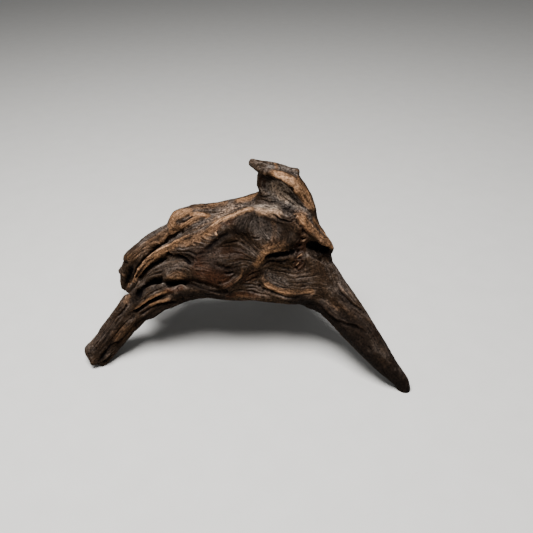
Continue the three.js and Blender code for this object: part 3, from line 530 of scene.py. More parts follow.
# Patches of the front, by tone: name, radius in pixels, strength, and the pixels they go through. Where wood
# is smooth the grain stands lower, and where it is wrinkled short cracks run every way.
FRONT_TONES = {
    "worn": [
        ("knob of the branch", 5, 0.9, [(171, 226), (173, 218), (178, 213.6), (188, 211.6)]),
        ("bright rib of the branch", 2.4, 1.0, [(192, 214.6), (201, 214.8), (208, 216.4)]),
        ("rib under the eye", 3.2, 0.7, [(172, 231), (180, 227.6), (188, 223.6), (196, 219)]),
        ("crest of the front ridge", 2.6, 0.75, [
            (252, 209.6), (241, 212), (232, 216), (222, 219.6), (214, 223)]),
        ("frayed side of the ridge", 5, 0.55, [(216, 227), (204, 235), (192, 241), (182, 240)]),
        ("strand of the ridge", 3.6, 0.7, [
            (184, 239), (172, 246), (160, 252), (150, 259), (142, 267), (135, 276), (130, 285)]),
        ("lump", 4.0, 0.16, [(171, 277.6), (177, 275.6), (183, 277)]),
        ("orange ridge of the lower strand", 1.8, 0.75, [
            (165, 292), (158, 294.4), (151, 298), (144, 302.6), (137, 308)]),
        ("fold of the lower strand", 1.1, 0.1, [(166, 289.6), (174, 292.2), (183, 288.4)]),
        ("tan rib of the leg", 2.2, 0.55, [(168, 300), (160, 302), (152, 304)]),
        ("arc of the bulge", 1.8, 0.3, [(242, 270), (240, 276), (236, 280), (230, 284), (224, 287.5)]),
        ("red rib", 2.0, 0.1, [(247, 279), (253, 275), (258, 271)]),
        ("patch over the cleft", 5, 0.45, [(266, 249), (274, 248), (283, 247)]),
        ("patch left of the cleft", 3.6, 0.55, [(267, 251), (262, 258), (257, 264)]),
        ("streak of the grey face", 2.4, 0.3, [(273, 222), (274.6, 230), (273, 240)]),
        ("rim of the second hollow", 2.8, 0.62, [
            (267, 284.4), (274, 287.8), (282, 291), (292, 293), (303, 292.4), (311, 291.4)]),
        ("left end of the rim", 2.0, 0.25, [(262, 275), (264, 280)]),
        ("worn face of the lip", 4.2, 0.95, [
            (275, 173.6), (282, 176), (289, 179.4), (295, 184.4), (299, 190)]),
        ("brown side of the lip", 5.2, 0.8, [(300, 182), (304, 189), (308, 196), (312, 204)]),
        ("lower part of the lip", 3.8, 0.85, [(296, 188), (300, 194), (304, 199.6), (308, 204)]),
        ("spot of the tip", 1.8, 0.7, [(275.6, 164), (276.4, 168)]),
        ("crest of the beak", 4.6, 0.7, [(299, 213), (304, 221), (311, 228.6), (320, 236), (331, 245)]),
        ("back edge of the beak", 3.4, 0.6, [(314, 221), (322, 231), (331, 243)]),
        ("foot of the neck", 3.4, 0.8, [(238, 200), (247, 198.4), (256, 194.4)]),
        ("face of the right leg", 5, 0.22, [(334, 304), (342, 310), (350, 315)]),
        ("side of the left leg", 6, 0.28, [(118, 336), (126, 330)]),
        ("shoulder of the left leg", 2.4, 0.42, [(129, 297), (126, 302)]),
        ("lower edge of the trunk", 2.4, 0.12, [(236, 296.4), (246, 295.4), (256, 297)]),
        ("side of the branch", 4, 0.35, [(166, 232), (156, 239), (146, 245), (136, 254), (128, 259)]),
        ("top behind the branch", 4, 0.4, [(196, 207), (210, 205.6), (224, 203)]),
    ],
    # Pale wood and chips. On the lip's worn face, the crest of the front ridge and the flute the paleness is
    # partly a painted highlight.
    "pale": [
        ("worn face of the lip", 3.2, 0.7, [(277, 174.4), (284, 177), (291, 180.8), (296, 186)]),
        ("brown side of the lip", 4, 0.22, [(299, 188), (305, 196), (310, 204)]),
        ("edge of the top", 4, 0.5, [(260, 211), (270, 212.4), (278, 213.6)]),
        ("crest of the front ridge", 2.1, 0.8, [
            (250, 209.8), (241, 212.4), (232, 216.4), (222, 220.4), (214, 225)]),
        ("knob of the branch", 4, 0.14, [(172, 224), (176, 215), (186, 211)]),
        ("strand of the ridge", 1.4, 0.3, [
            (182, 238), (168, 246), (156, 252.6), (147, 260), (139, 269), (133, 279)]),
        ("bright rib of the branch", 1.5, 0.4, [(194, 214.6), (201, 214.6), (206, 216)]),
        ("first bright fibre", 0.7, 0.22, [(205, 238), (210, 239.6), (215, 241)]),
        ("second bright fibre", 0.7, 0.2, [(203, 242), (208, 243.4), (213, 244)]),
        ("chip on the frayed side", 1.0, 1.0, [(215.6, 233), (217, 235)]),
        ("second chip on the frayed side", 1.0, 1.0, [(217.4, 239.2), (218.6, 239.8)]),
        ("chip by the crown", 1.0, 1.2, [(295, 214.2)]),
        ("second chip by the crown", 1.0, 1.2, [(296.6, 217.7)]),
        ("chip on the beak", 1.1, 1.2, [(312, 226)]),
        ("second chip on the beak", 0.9, 1.2, [(322, 236.6)]),
        ("third splinter", 0.8, 0.8, [(298, 256.8), (301.6, 254.6)]),
        ("fourth splinter", 0.8, 0.8, [(296, 264.8), (298.4, 262.8)]),
        ("knobbly top", 6, 0.16, [(200, 227), (210, 222), (222, 214), (236, 207)]),
        ("flute", 5, 0.2, [(275, 188), (281, 192), (287, 196.6)]),
        ("broken wood by the beak", 3.0, 0.14, [(299, 224), (303, 231), (304, 239)]),
    ],
    "silver": [
        ("top", 8, 0.45, [(255, 206), (264, 207), (276, 210), (288, 211)]),
        ("knobbly top", 7, 0.6, [(196, 226), (206, 222), (218, 215), (232, 209), (242, 206)]),
        ("slope of the ridge", 3, 0.5, [(196, 226), (184, 233), (174, 239.6), (164, 245.4)]),
        # The flute's grey wood, painted lighter still as painted light where the lip shades it.
        ("flute", 8, 1.1, [(270, 188), (279, 193), (289, 200), (299, 207)]),
        ("tip of the lip", 4, 0.12, [(253, 163), (262, 165), (271, 167)]),
        ("upper face of the lip", 3.4, 0.6, [(270, 166), (278, 168), (286, 169.8), (295, 172.4)]),
        ("second hollow", 6, 0.4, [(269, 274), (276, 279), (284, 282)]),
        ("grey face", 9, 0.5, [(246, 222), (258, 226), (270, 232)]),
        ("behind the beak", 4, 0.35, [(302, 210), (308, 215), (311, 221)]),
        ("upper side of the right leg", 4, 0.12, [(322, 262), (334, 276), (345, 292)]),
        ("branch", 5, 0.5, [(170, 224), (160, 230), (150, 236), (142, 243)]),
        ("eye of the knob", 2.2, 0.45, [(184, 219.6), (188, 218), (191, 216.8)]),
        ("middle strand", 5, 0.15, [(190, 262), (176, 265), (164, 268)]),
        ("foot of the left leg", 5, 0.15, [(112, 326), (102, 338), (92, 348)]),
    ],
    # Wood bleached the palest grey. On the flute, where the lip shades it, it is partly painted light.
    "ash": [
        ("edge of the lip", 1.2, 0.7, [(282, 182), (288, 187), (293, 192)]),
        ("top", 5, 0.3, [(259, 207.6), (266, 208.6), (272, 209.4), (278, 210)]),
        ("flute", 6, 1.0, [(274, 187), (281, 191), (287, 196)]),
        ("lower part of the flute", 4, 0.3, [(290, 199), (298, 206)]),
        ("neck", 5, 0.25, [(266, 186), (268, 195)]),
    ],
    "red": [
        ("fold of the lower strand", 2.4, 1.0, [(166, 289.4), (173, 291.6), (182, 288)]),
        ("bulge of the trunk", 11, 1.0, [(200, 260), (208, 268), (206, 278), (222, 278)]),
        ("upper part of the bulge", 6, 0.6, [(214, 252), (226, 252), (240, 254)]),
        ("foot of the bulge", 5, 0.6, [(246, 278), (254, 274)]),
        ("lower edge of the trunk", 3, 0.8, [(228, 296), (242, 294), (256, 296)]),
        ("neck", 4, 0.8, [(263, 181), (265, 188), (268, 192)]),
        ("splinters", 5, 0.8, [(303, 230), (303, 242), (299, 254), (298, 266)]),
        ("broken wood by the cleft", 4.0, 0.9, [(299, 243), (299, 254), (298, 264)]),
        ("side of the ridge", 3, 0.6, [(234, 221), (224, 224), (214, 230)]),
    ],
    # Dark patches: the grey face is the wood's own dark stain, and most of the others are painted shade,
    # under the crest, the strands, the lip's tip, the beak and the legs, and in the hollows, gaps, cracks,
    # the cleft and the undercut.
    "stain_and_shade": [
        ("cracked wood by the crown", 5, 0.75, [(283, 210), (289, 211.6), (293, 214)]),
        ("gaps between the fibres", 2.0, 0.6, [(203, 246), (209, 246), (214, 243)]),
        ("broken wood by the cleft", 4.0, 0.5, [(299, 243), (300, 252), (300, 262)]),
        ("grey face", 10, 0.65, [(244, 220), (256, 220), (270, 224), (284, 230), (290, 240)]),
        ("under the crest", 6, 0.95, [(210, 249), (217, 242), (226, 235), (234, 230), (242, 227)]),
        ("hollow end of the branch", 3, 0.9, [(132, 268), (130, 276), (128, 286)]),
        ("gap beside the branch", 1.2, 0.6, [(156, 249.6), (146, 257.6), (138, 268), (132, 279)]),
        ("cleft", 2.4, 1.0, [(267, 256), (280, 255), (292, 252), (298, 249)]),
        ("wood under the cleft", 3.0, 0.8, [(268, 260), (278, 258.6), (288, 257), (295, 255)]),
        ("undercut of the beak", 5, 1.2, [(312, 245), (317, 248), (323, 250.6), (330, 254)]),
        ("shade under the tip of the lip", 3.4, 0.9, [(258, 173.4), (264, 175.6), (270, 179)]),
        ("hole under the middle strand", 6, 1.1, [(160, 282), (150, 286), (141, 293), (136, 300)]),
        ("crack under the lump", 3.4, 1.0, [(168, 284), (184, 284), (200, 288), (216, 292), (230, 293)]),
        ("lower strand", 5, 1.0, [(176, 296), (190, 294), (204, 295), (222, 297)]),
        ("start of the lower strand", 3, 0.6, [(148, 291), (158, 288.6), (168, 286.6)]),
        ("groove of the leg", 1.2, 1.0, [(158, 298.4), (150, 301.6), (143, 306), (136, 311)]),
        ("lower half of the right leg", 8, 1.05, [
            (326, 312), (338, 322), (350, 330), (362, 342), (374, 358), (386, 372)]),
        ("upper half of the right leg", 8, 0.6, [
            (340, 300), (352, 312), (362, 322), (374, 336), (384, 350)]),
        ("outer edge of the right leg", 6, 0.85, [(371, 327), (381, 340), (389, 352), (396, 365)]),
        ("middle of the right leg", 7, 1.1, [(343, 314), (352, 324), (362, 336)]),
        ("below the fold of the right leg", 5, 1.1, [(338, 322), (348, 325), (358, 330), (366, 338)]),
        ("left leg", 8, 0.5, [(128, 312), (116, 326), (106, 340), (98, 352)]),
        ("underside of the right leg", 9, 1.2, [
            (298, 300), (310, 304), (322, 311), (336, 323), (350, 338), (368, 356), (384, 374)]),
        ("right foot", 10, 1.2, [(390, 374), (398, 382), (408, 391)]),
        ("underside of the lower strand", 6, 1.0, [
            (146, 318), (160, 310), (176, 304), (192, 299), (216, 298)]),
        ("underside of the left leg", 5, 0.7, [(100, 364), (114, 352), (126, 340), (140, 325)]),
        ("red rib", 2.6, 0.5, [(247, 279), (254, 275), (260, 271.6)]),
        ("upper part of the bulge", 8, 0.4, [(216, 248), (228, 250), (240, 254)]),
        ("bulge", 7, 0.8, [(190, 256), (202, 256), (214, 264), (226, 268), (236, 270)]),
    ],
    "smooth": [
        ("bulge", 12, 1.0, [(198, 262), (210, 268), (206, 278)]),
        ("upper part of the bulge", 9, 0.6, [(214, 250), (228, 252), (242, 256)]),
        ("knob of the branch", 6, 0.7, [(174, 222), (182, 215), (194, 214)]),
        ("top", 7, 0.7, [(256, 208), (266, 209), (276, 210.6)]),
        ("second hollow", 9, 0.4, [(300, 266), (312, 276), (320, 286)]),
        ("lump", 5, 0.5, [(171, 277), (183, 276)]),
        ("face of the lip", 5, 0.7, [(276, 173), (290, 181), (298, 193)]),
        ("strap of the beak", 5, 0.3, [(298, 211), (309, 228), (330, 246)]),
        ("right leg", 12, 0.8, [(330, 300), (350, 316), (370, 340), (394, 374)]),
        ("grey face", 10, 0.9, [(244, 222), (258, 224), (272, 230), (284, 236)]),
        ("belly", 6, 0.6, [(226, 292), (244, 290), (258, 292), (276, 298)]),
        ("left leg", 8, 0.3, [(122, 314), (108, 334), (96, 350)]),
        ("flute", 6, 0.6, [(270, 186), (278, 191), (287, 198)]),
    ],
    "wrinkled": [
        ("knobbly top", 6, 1.0, [(196, 228), (206, 223), (218, 216), (228, 211), (236, 208)]),
        ("slope of the ridge", 4, 0.7, [(192, 234), (184, 238), (176, 242)]),
        ("foot of the neck", 5, 0.9, [(284, 207), (290, 211), (292, 217)]),
        ("crest of the front ridge", 3, 0.5, [(222, 220), (232, 216.6), (242, 212.4)]),
        ("flute", 7, 0.5, [(276, 190), (284, 196), (294, 203)]),
        ("strap of the beak", 4, 0.45, [(305, 222), (312, 230), (322, 238)]),
    ],
}

# The ground pattern of the grain: its width across and its length along the limb in mm, how high it stands
# or how deep it goes, and the shift that takes it to a place of its own in the noise. Splits and checks open
# where the noise is nearly 0, and come in patches of some mm that fade in between two values of the noise.
RIBS = {"wide": 7.5, "long": 75, "high": 1.0, "shift": 0.0}
STRANDS = {"wide": 3.0, "long": 42, "high": 0.42, "shift": 3.1}
FIBRES = {"wide": 1.5, "long": 26, "high": 0.3, "shift": 5.7}
SPLITS = {"wide": 9, "long": 60, "deep": 1.3, "open": 0.07, "shift": 8.9, "patch": 21, "edge": (0.05, 0.35)}
CHECKS = {"wide": 9, "long": 2.6, "deep": 0.5, "open": 0.12, "shift": 12.1, "patch": 15, "edge": (-0.1, 0.4)}
RINGS = {"apart": 2.3, "high": 0.14}
LUMPS = {"wide": 16, "high": 1.2, "shift": 40}
WRINKLES = {"wide": 2.6, "long": 5.4, "open": 0.19, "deep": 1.1, "lift": 0.35, "shift": 21}
WRINKLE_BREAKS = {"wide": 4.2, "shift": 33, "edge": (-0.4, 0.1)}
WAVER = {"wide": 24, "move": 3.2}

# Knots that the grain parts round, by pixel of the front view, with their radius in mm.
KNOTS = [(178, 275, 8), (181, 220, 8), (286, 276, 13), (169, 254, 5)]
KNOT_PUSH = 0.75

# Corrections of the form, as the eye sees it: a pixel on the wood, a radius in mm and a shift in pixels to
# the right, down and towards the eye.
PULLS = [
    ("corner of the lip", (303, 178), 9, (-1.6, 0.4, 0)),
    ("point of the corner", (296.6, 171.6), 4, (2.6, -2.0, 0)),
    ("middle of the flute", (282, 193), 7, (0, 0, 3.2)),
    ("lower part of the flute", (291, 202), 7, (0, 0, 4.0)),
    ("left side of the flute", (272, 188), 6, (0, 0, 1.6)),
    ("point of the tip", (251.4, 161.6), 2.6, (-1.2, -0.6, 0)),
    ("lower side of the tip", (256, 166.4), 4, (-0.6, 3.4, 0)),
    ("lower side of the lip by the neck", (262, 169.6), 4, (0, 3.0, 0)),
    ("lower corner of the left foot", (89, 357), 4, (1.8, -0.8, 0)),
    ("end of the branch", (127, 256), 7, (-2.8, -0.8, 0)),
    ("lower side of the branch's end", (139, 256), 7, (1.2, 4.0, 2.5)),
    ("lower side of the branch", (147, 250), 6, (0.6, 3.4, 2.0)),
    ("lower side of the branch by the knob", (156, 243.6), 5, (0.6, 2.6, 1.5)),
    ("inner side of the branch's end", (131, 268), 6, (2.4, 1.4, 1.5)),
    ("underside behind the knee", (170, 301), 8, (0, 4.4, 0)),
    ("upper side of the left leg", (107, 321), 9, (4.4, 1.6, 0)),
    ("lower edge by the right leg", (309, 304), 8, (-1.0, 3.4, 0)),
    ("back of the lip", (309, 190), 9, (-4.4, 0, 0)),
    ("foot of the lip", (313, 202), 6, (-1.4, 0, 0)),
    ("lip's edge by the tip", (268, 167.4), 5, (0, 2.6, 0)),
    ("lip's edge, upper part", (276, 171), 5, (0, 3.4, 0)),
    ("lip's edge, middle", (284, 174.6), 5, (0, 4.8, 0.6)),
    ("lip's edge, lower part", (291, 179.6), 5, (-0.6, 5.6, 0.6)),
    ("lip's edge, foot", (298, 188), 5, (-1.4, 4.6, 0)),
    ("tip of the lip", (252, 163.4), 6, (2.0, -1.2, 0)),
    ("left side of the knob", (173, 219), 6, (2.4, 0.6, 0)),
    ("lower edge of the trunk, left part", (205, 297), 13, (0, -3.2, 0)),
    ("inside of the left leg's knee", (149, 311), 10, (1.6, 3.4, 0)),
    ("shoulder of the left leg", (125, 299), 6, (2.0, 0, 0)),
    ("lower side of the right leg", (370, 360), 10, (0.8, -1.2, 0)),
    ("saddle of the top", (249, 200), 15, (0, -3.6, 0)),
    ("top behind the branch", (228, 204), 13, (0, -1.6, 0)),
    ("tip of the beak", (331, 246), 8, (1.6, -1.4, 0)),
    ("below the tip of the beak", (329, 260), 9, (-6, 0, 0)),
    ("back of the beak", (322, 233), 8, (2.2, -1.0, 0)),
    ("right foot", (404, 387), 14, (3.4, 0.6, 0)),
    ("bend of the right leg", (396, 374), 10, (1.2, 0, 0)),
    ("lower edge of the trunk", (296, 301), 12, (0, 1.8, 0)),
    ("corner of the left foot", (88.6, 350.4), 4, (-2.2, 0.6, 0)),
    ("round of the left foot", (91.4, 345), 4, (1.4, 1.6, 0)),
    ("below the corner of the left foot", (88, 354.6), 2.6, (2.0, -0.6, 0)),
    ("lower left of the left foot", (93, 361), 4.4, (-1.6, 3.4, 0)),
    ("upper side of the left foot", (94, 336), 12, (2.6, 1.8, 0)),
    ("upper edge of the knob", (178, 212), 8, (-1.4, -1.4, 0)),
]

# How the drawn lines wander and change in width and depth.
WOBBLE = {"wide": 8.0, "move": 0.6}
UNEVEN_WIDTH = {"wide": 2.7, "shift": 7, "share": 0.4}
UNEVEN_DEPTH = {"wide": 6.0, "shift": 13, "share": 0.35}

# The profile of a drawn line. It fades in and out over a share of its length, from a lower height at its
# ends, and lies on wood that faces as the line's own wood does. A groove has a low raised edge, at some
# widths from its middle. A shelf's edge falls off within a few mm, while its other side slopes over its
# whole width.
LINE_ENDS = {"share": 0.25, "height": 0.2}
SAME_SIDE = (-0.2, 0.25)
LINE_REACH = 1.2
RIDGE_POWER = 1.4
GROOVE_EDGE = {"at": 2.1, "wide": 0.8, "height": 0.16}
SHELF_POWER = 1.3
SHELF_DROP = 1.3

# The fibres that run beside the drawn lines, and how far out the material's grain follows a line.
FLOW = {"wide": 1.45, "long": 26, "reach": 5.5, "high": 0.3, "hold": 0.85}
GRAIN_REACH = 1.4 * FLOW["reach"]

# The share of a form that goes where another one rules: beside a drawn line, on the line itself, on smooth
# wood, and on the side that the eye sees, whose cracks and lumps are drawn.
YIELDS = {
    "grain to lines": 0.5,
    "grain to smooth wood": 0.65,
    "flow to smooth wood": 0.4,
    "fibres to smooth wood": 0.5,
    "relief to drawn lines": 0.3,
    "lumps to the seen side": 0.7,
    "cracks to the seen side": 0.8,
    "rings to the seen side": 0.8,
}

# The heights of a drawn line, in mm, between which the relief comes to yield to it.
DRAWN_HEIGHTS = (0.3, 1.5)

# The soles stay flat: the relief starts between these heights above the ground, in mm.
ABOVE_GROUND = (0.2, 2.5)

# The relief that counts as a full crest and a full swell, in mm, and the rounds of smoothing that each is
# measured from.
CREST = {"full": 0.35, "rounds": 8}
SWELL = {"full": 1.6, "rounds": 60}

# How dark the painted shade in the cracks of the grain and the wrinkles is, and the depths of drawn grooves,
# in mm, between which they darken with painted shade.
CRACK_SHADE = 0.9
WRINKLE_SHADE = 0.65
GROOVE_DEPTHS = (0.5, 2.6)

# The drawn patches have ragged edges, fade out between two distances, in radii, and lie on wood that faces as
# their own wood does. The wood that isn't drawn has patches of its own.
RAGGED_EDGES = [{"wide": 3.1, "shift": 0, "share": 0.3}, {"wide": 7.3, "shift": 5, "share": 0.3}]
PATCH_FADE = (1.6, 0.35)
PATCH_SIDE = (-0.4, 0.2)
PATCH_REACH = 1.8
WILD_PATCHES = [{"wide": 19, "shift": 9, "share": 0.6}, {"wide": 8, "shift": 3, "share": 0.4}]
# The wood darkens towards the ground between these heights in mm, by this share.
DARKER_NEAR_GROUND = {"heights": (26, 4), "share": 0.7}

# How much longer than wide the fibres of the material are.
GRAIN_STRETCH = 12

# How wide the patterns of the material are, in mm: streaks and hairlines along the grain, clouds that break
# up the patches, and specks. Real hairlines and specks are too fine to show, so these are drawn coarser.
STREAK = 2.38
HAIR = 1.818
CLOUD = 11.8
SPECK = 1.56

# How much lighter and darker the pores and the specks make the wood. Their noise swings about 0.5.
PORE_LIGHT = 2.2
SPECK_LIGHT = 3.2

# The tones whose patches fray at their edges, in the order in which they are laid on.
PATCH_TONES = ("silver", "ash", "worn", "pale")

# Numbers of the sockets of a mix node that mixes colours.
MIX_SHARE = 0
MIX_UNDER = 6
MIX_OVER = 7
MIX_MADE = 2

# How high the material's own relief stands, in mm.
BUMP = 0.7

# The sums of the material: a name, an operation, and what goes in, which is a number, an attribute, a
# pattern or an earlier sum. The ones named in CLAMPED stay between 0 and 1.
SUMS = [
    # Streaks, calmer where the wood is smooth.
    ("calm", "MULTIPLY_ADD", ("smooth", -0.55, 1.0)),
    ("swing", "SUBTRACT", ("strong streaks", 0.5)),
    ("streaks", "MULTIPLY_ADD", ("swing", "calm", 0.5)),
    # Brown on the crests and deep brown in the furrows: the streaks are the grain's own colour, and the crest
    # term paints light on the fine crests and shade in the fine hollows.
    ("streaky", "MULTIPLY_ADD", ("streaks", 1.6, -0.25)),
    ("crested", "MULTIPLY_ADD", ("crest", 0.32, "streaky")),
    ("brown share", "MULTIPLY_ADD", ("fibre", 0.3, "crested")),
    ("red share", "MULTIPLY", ("red", 0.75)),
    # The stain share holds the wood's dark stain and painted shade. The crack share is painted shade in the
    # cracks, grooves and wrinkles.
    ("stain share", "MULTIPLY", ("stain_and_shade", 0.85)),
    ("crack share", "MULTIPLY", ("crack", 0.95)),
    # What frays the edges of the patches, and what keeps them to the crests.
    ("streaky fray", "MULTIPLY_ADD", ("streaks", 3.0, -2.3)),
    ("cloudy fray", "MULTIPLY_ADD", ("clouds", 1.6, "streaky fray")),
    ("fray", "MULTIPLY", ("cloudy fray", 3.0)),
    ("raised fibres", "MULTIPLY_ADD", ("fibre", 0.22, 0.78)),
    ("raised", "MULTIPLY_ADD", ("crest", 0.3, "raised fibres")),
    # Hairlines, fainter where the wood is smooth.
    ("off hairline", "SUBTRACT", ("hairs", 0.5)),
    ("from hairline", "ABSOLUTE", ("off hairline",)),
    ("between hairlines", "DIVIDE", ("from hairline", 0.035)),
    ("smoothed over", "MULTIPLY", ("smooth", 0.7)),
    ("clear of hairlines", "MAXIMUM", ("between hairlines", "smoothed over")),
    # Light and dark of the relief: crests rubbed lighter and given painted light, swells given painted light,
    # and hollows darkened with painted shade.
    ("light of swells", "MULTIPLY_ADD", ("swell", 0.22, 1 - (PORE_LIGHT + SPECK_LIGHT) / 2)),
    ("light of crests", "MULTIPLY_ADD", ("crest", 0.17, "light of swells")),
    ("light of specks", "MULTIPLY_ADD", ("specks", SPECK_LIGHT, "light of crests")),
    ("light of pores", "MULTIPLY_ADD", ("pores", PORE_LIGHT, "light of specks")),
    ("light of fibres", "MULTIPLY_ADD", ("fibre", 0.14, "light of pores")),
    ("light of hairlines", "MULTIPLY_ADD", ("clear of hairlines", 0.42, 0.58)),
    ("light", "MULTIPLY", ("light of fibres", "light of hairlines")),
    # Rubbed wood is a little less dull.
    ("rubbed", "MULTIPLY_ADD", ("worn", -0.12, 0.8)),
    ("roughness", "MULTIPLY_ADD", ("clouds", 0.2, "rubbed")),
    # Relief too fine for the skin.
    ("high streaks", "MULTIPLY", ("streaks", 1.2)),
    ("high specks", "MULTIPLY_ADD", ("specks", 0.9, "high streaks")),
    ("high pores", "MULTIPLY_ADD", ("pores", 0.7, "high specks")),
    ("height", "MULTIPLY_ADD", ("clear of hairlines", 0.5, "high pores")),
]
for tone in PATCH_TONES:
    SUMS += [
        (f"rest of {tone}", "SUBTRACT", (1.0, tone)),
        (f"edge of {tone}", "MULTIPLY", (tone, f"rest of {tone}")),
        (f"frayed {tone}", "MULTIPLY_ADD", (f"edge of {tone}", "fray", tone)),
        (f"{tone} share", "MULTIPLY", (f"frayed {tone}", "raised")),
    ]
CLAMPED = {"brown share", "stain share", "crack share", "between hairlines"}
CLAMPED |= {name for tone in PATCH_TONES for name in (f"rest of {tone}", f"{tone} share")}

SEED_STEP = 17.3
NOISE_TABLE = 256
chance = np.random.default_rng(11)
SHUFFLE = chance.permutation(NOISE_TABLE)
SLOPES = chance.normal(size=(NOISE_TABLE, 3))
SLOPES /= np.linalg.norm(SLOPES, axis=1)[:, None]
CORNERS = np.array([[i, j, k] for i in (0, 1) for j in (0, 1) for k in (0, 1)])

# Keeps a division from meeting 0.
TINY = 1e-6


def noise_at(points):
    """Smooth gradient noise, from about -1 to 1, at an array of points."""
    full_swing = 1.6
    cell = np.floor(points).astype(np.int64)
    part = points - cell
    fade = part**3 * (part * (part * 6 - 15) + 10)
    total = np.zeros(len(points))
    for corner in CORNERS:
        x, y, z = ((cell + corner) % NOISE_TABLE).T
        slot = SHUFFLE[(SHUFFLE[(SHUFFLE[x] + y) % NOISE_TABLE] + z) % NOISE_TABLE]
        slope = dot(SLOPES[slot], part - corner)
        total += slope * np.prod(np.where(corner == 1, fade, 1 - fade), axis=1)
    return total * full_swing


def noise_of(pattern, points):
    """Noise of a pattern's width, from its own place."""
    return noise_at(points / pattern["wide"] + pattern["shift"])


def swayed(points, waver):
    """The points moved to and fro by noise, along each axis on its own."""
    sway = [noise_at(points / waver["wide"] + SEED_STEP * axis) for axis in range(3)]
    return points + waver["move"] * np.column_stack(sway)


def threads(noise):
    """Turns noise into threads: 1 on their crests, where the noise is 0, and lower to both sides."""
    slope = 2.4
    return 1 - slope * np.abs(noise)


def furrows_of(noise, open_to):
    """Turns noise into furrows: 1 in their middle, where the noise is 0, and fading out past open_to."""
    return np.exp(-((np.abs(noise) / open_to) ** 2))


def eased(values, low, high):
    """0 below low, 1 above high and a soft step between them. low may be the greater."""
    t = np.clip((values - low) / (high - low), 0, 1)
    return t * t * (3 - 2 * t)


def dot(a, b):
    """The dot product of each pair of rows."""
    return np.einsum("ij,ij->i", a, b)


def smooth_path(points, steps):
    """A Catmull-Rom curve through the points, as an array of samples."""
    points = np.array(points, dtype=float)
    if len(points) < 2:
        return points
    padded = np.vstack([2 * points[0] - points[1], points, 2 * points[-1] - points[-2]])
    samples = []
    for a, b, c, d in zip(padded, padded[1:], padded[2:], padded[3:]):
        for t in np.arange(steps) / steps:
            bend = (2 * a - 5 * b + 4 * c - d) * t**2 + (3 * b - a - 3 * c + d) * t**3
            samples.append((2 * b + (c - a) * t + bend) / 2)
    return np.array(samples + [points[-1]])


def front_sight(across, down):
    """Where a look from the eye through a pixel starts, and its direction."""
    u = across - VIEW_MIDDLE
    v = down - VIEW_MIDDLE
    right = (math.cos(EYE_ROLL) * u + math.sin(EYE_ROLL) * v) / VIEW_REACH
    low = (math.cos(EYE_ROLL) * v - math.sin(EYE_ROLL) * u) / VIEW_REACH
    ahead = math.cos(EYE_PITCH) - low * math.sin(EYE_PITCH)
    up = -math.sin(EYE_PITCH) - low * math.cos(EYE_PITCH)
    return Vector(EYE), Vector((right, ahead, up)).normalized()


def back_sight(x, z):
    """A level look from behind the wood."""
    return Vector((x, BEHIND, z)), Vector((0, -1, 0))


def top_sight(x, y):
    """A look straight down on the wood."""
    return Vector((x, y, ABOVE)), Vector((0, 0, -1))


def under_sight(x, y):
    """A look straight up from just below the ground."""
    return Vector((x, y, BELOW)), Vector((0, 0, 1))


def laid_on(tree, sight, path, steps, name):
    """The path laid on the wood, as points and their normals for each stretch that doesn't jump in depth."""
    far_apart = 9.0
    stretches = [[]]
    for pair in smooth_path(path, steps):
        hit, facing, _, _ = tree.ray_cast(*sight(*pair))
        if hit is None:
            continue
        if stretches[-1] and (hit - stretches[-1][-1][0]).length > far_apart:
            stretches.append([])
        stretches[-1].append((hit, facing))
    if not stretches[0]:
        raise RuntimeError(f"{name} misses the wood")
    return [(np.array([p for p, _ in stretch]), np.array([n for _, n in stretch])) for stretch in stretches]


def nearest_on(points, line):
    """For each point, the offset from a line of samples, how far along it, from 0 to 1, and which sample."""
    best = np.full(len(points), np.inf)
    offset = np.zeros((len(points), 3))
    along = np.zeros(len(points))
    which = np.zeros(len(points), dtype=int)
    ends = line[1:] if len(line) > 1 else line
    for i, (a, b) in enumerate(zip(line, ends)):
        span = b - a
        t = np.clip((points - a) @ span / max(span @ span, TINY**2), 0, 1)
        out = points - a - t[:, None] * span
        distance = dot(out, out)
        closer = distance < best
        best[closer] = distance[closer]
        offset[closer] = out[closer]
        along[closer] = (i + t[closer]) / len(ends)
        which[closer] = i
    return offset, along, which


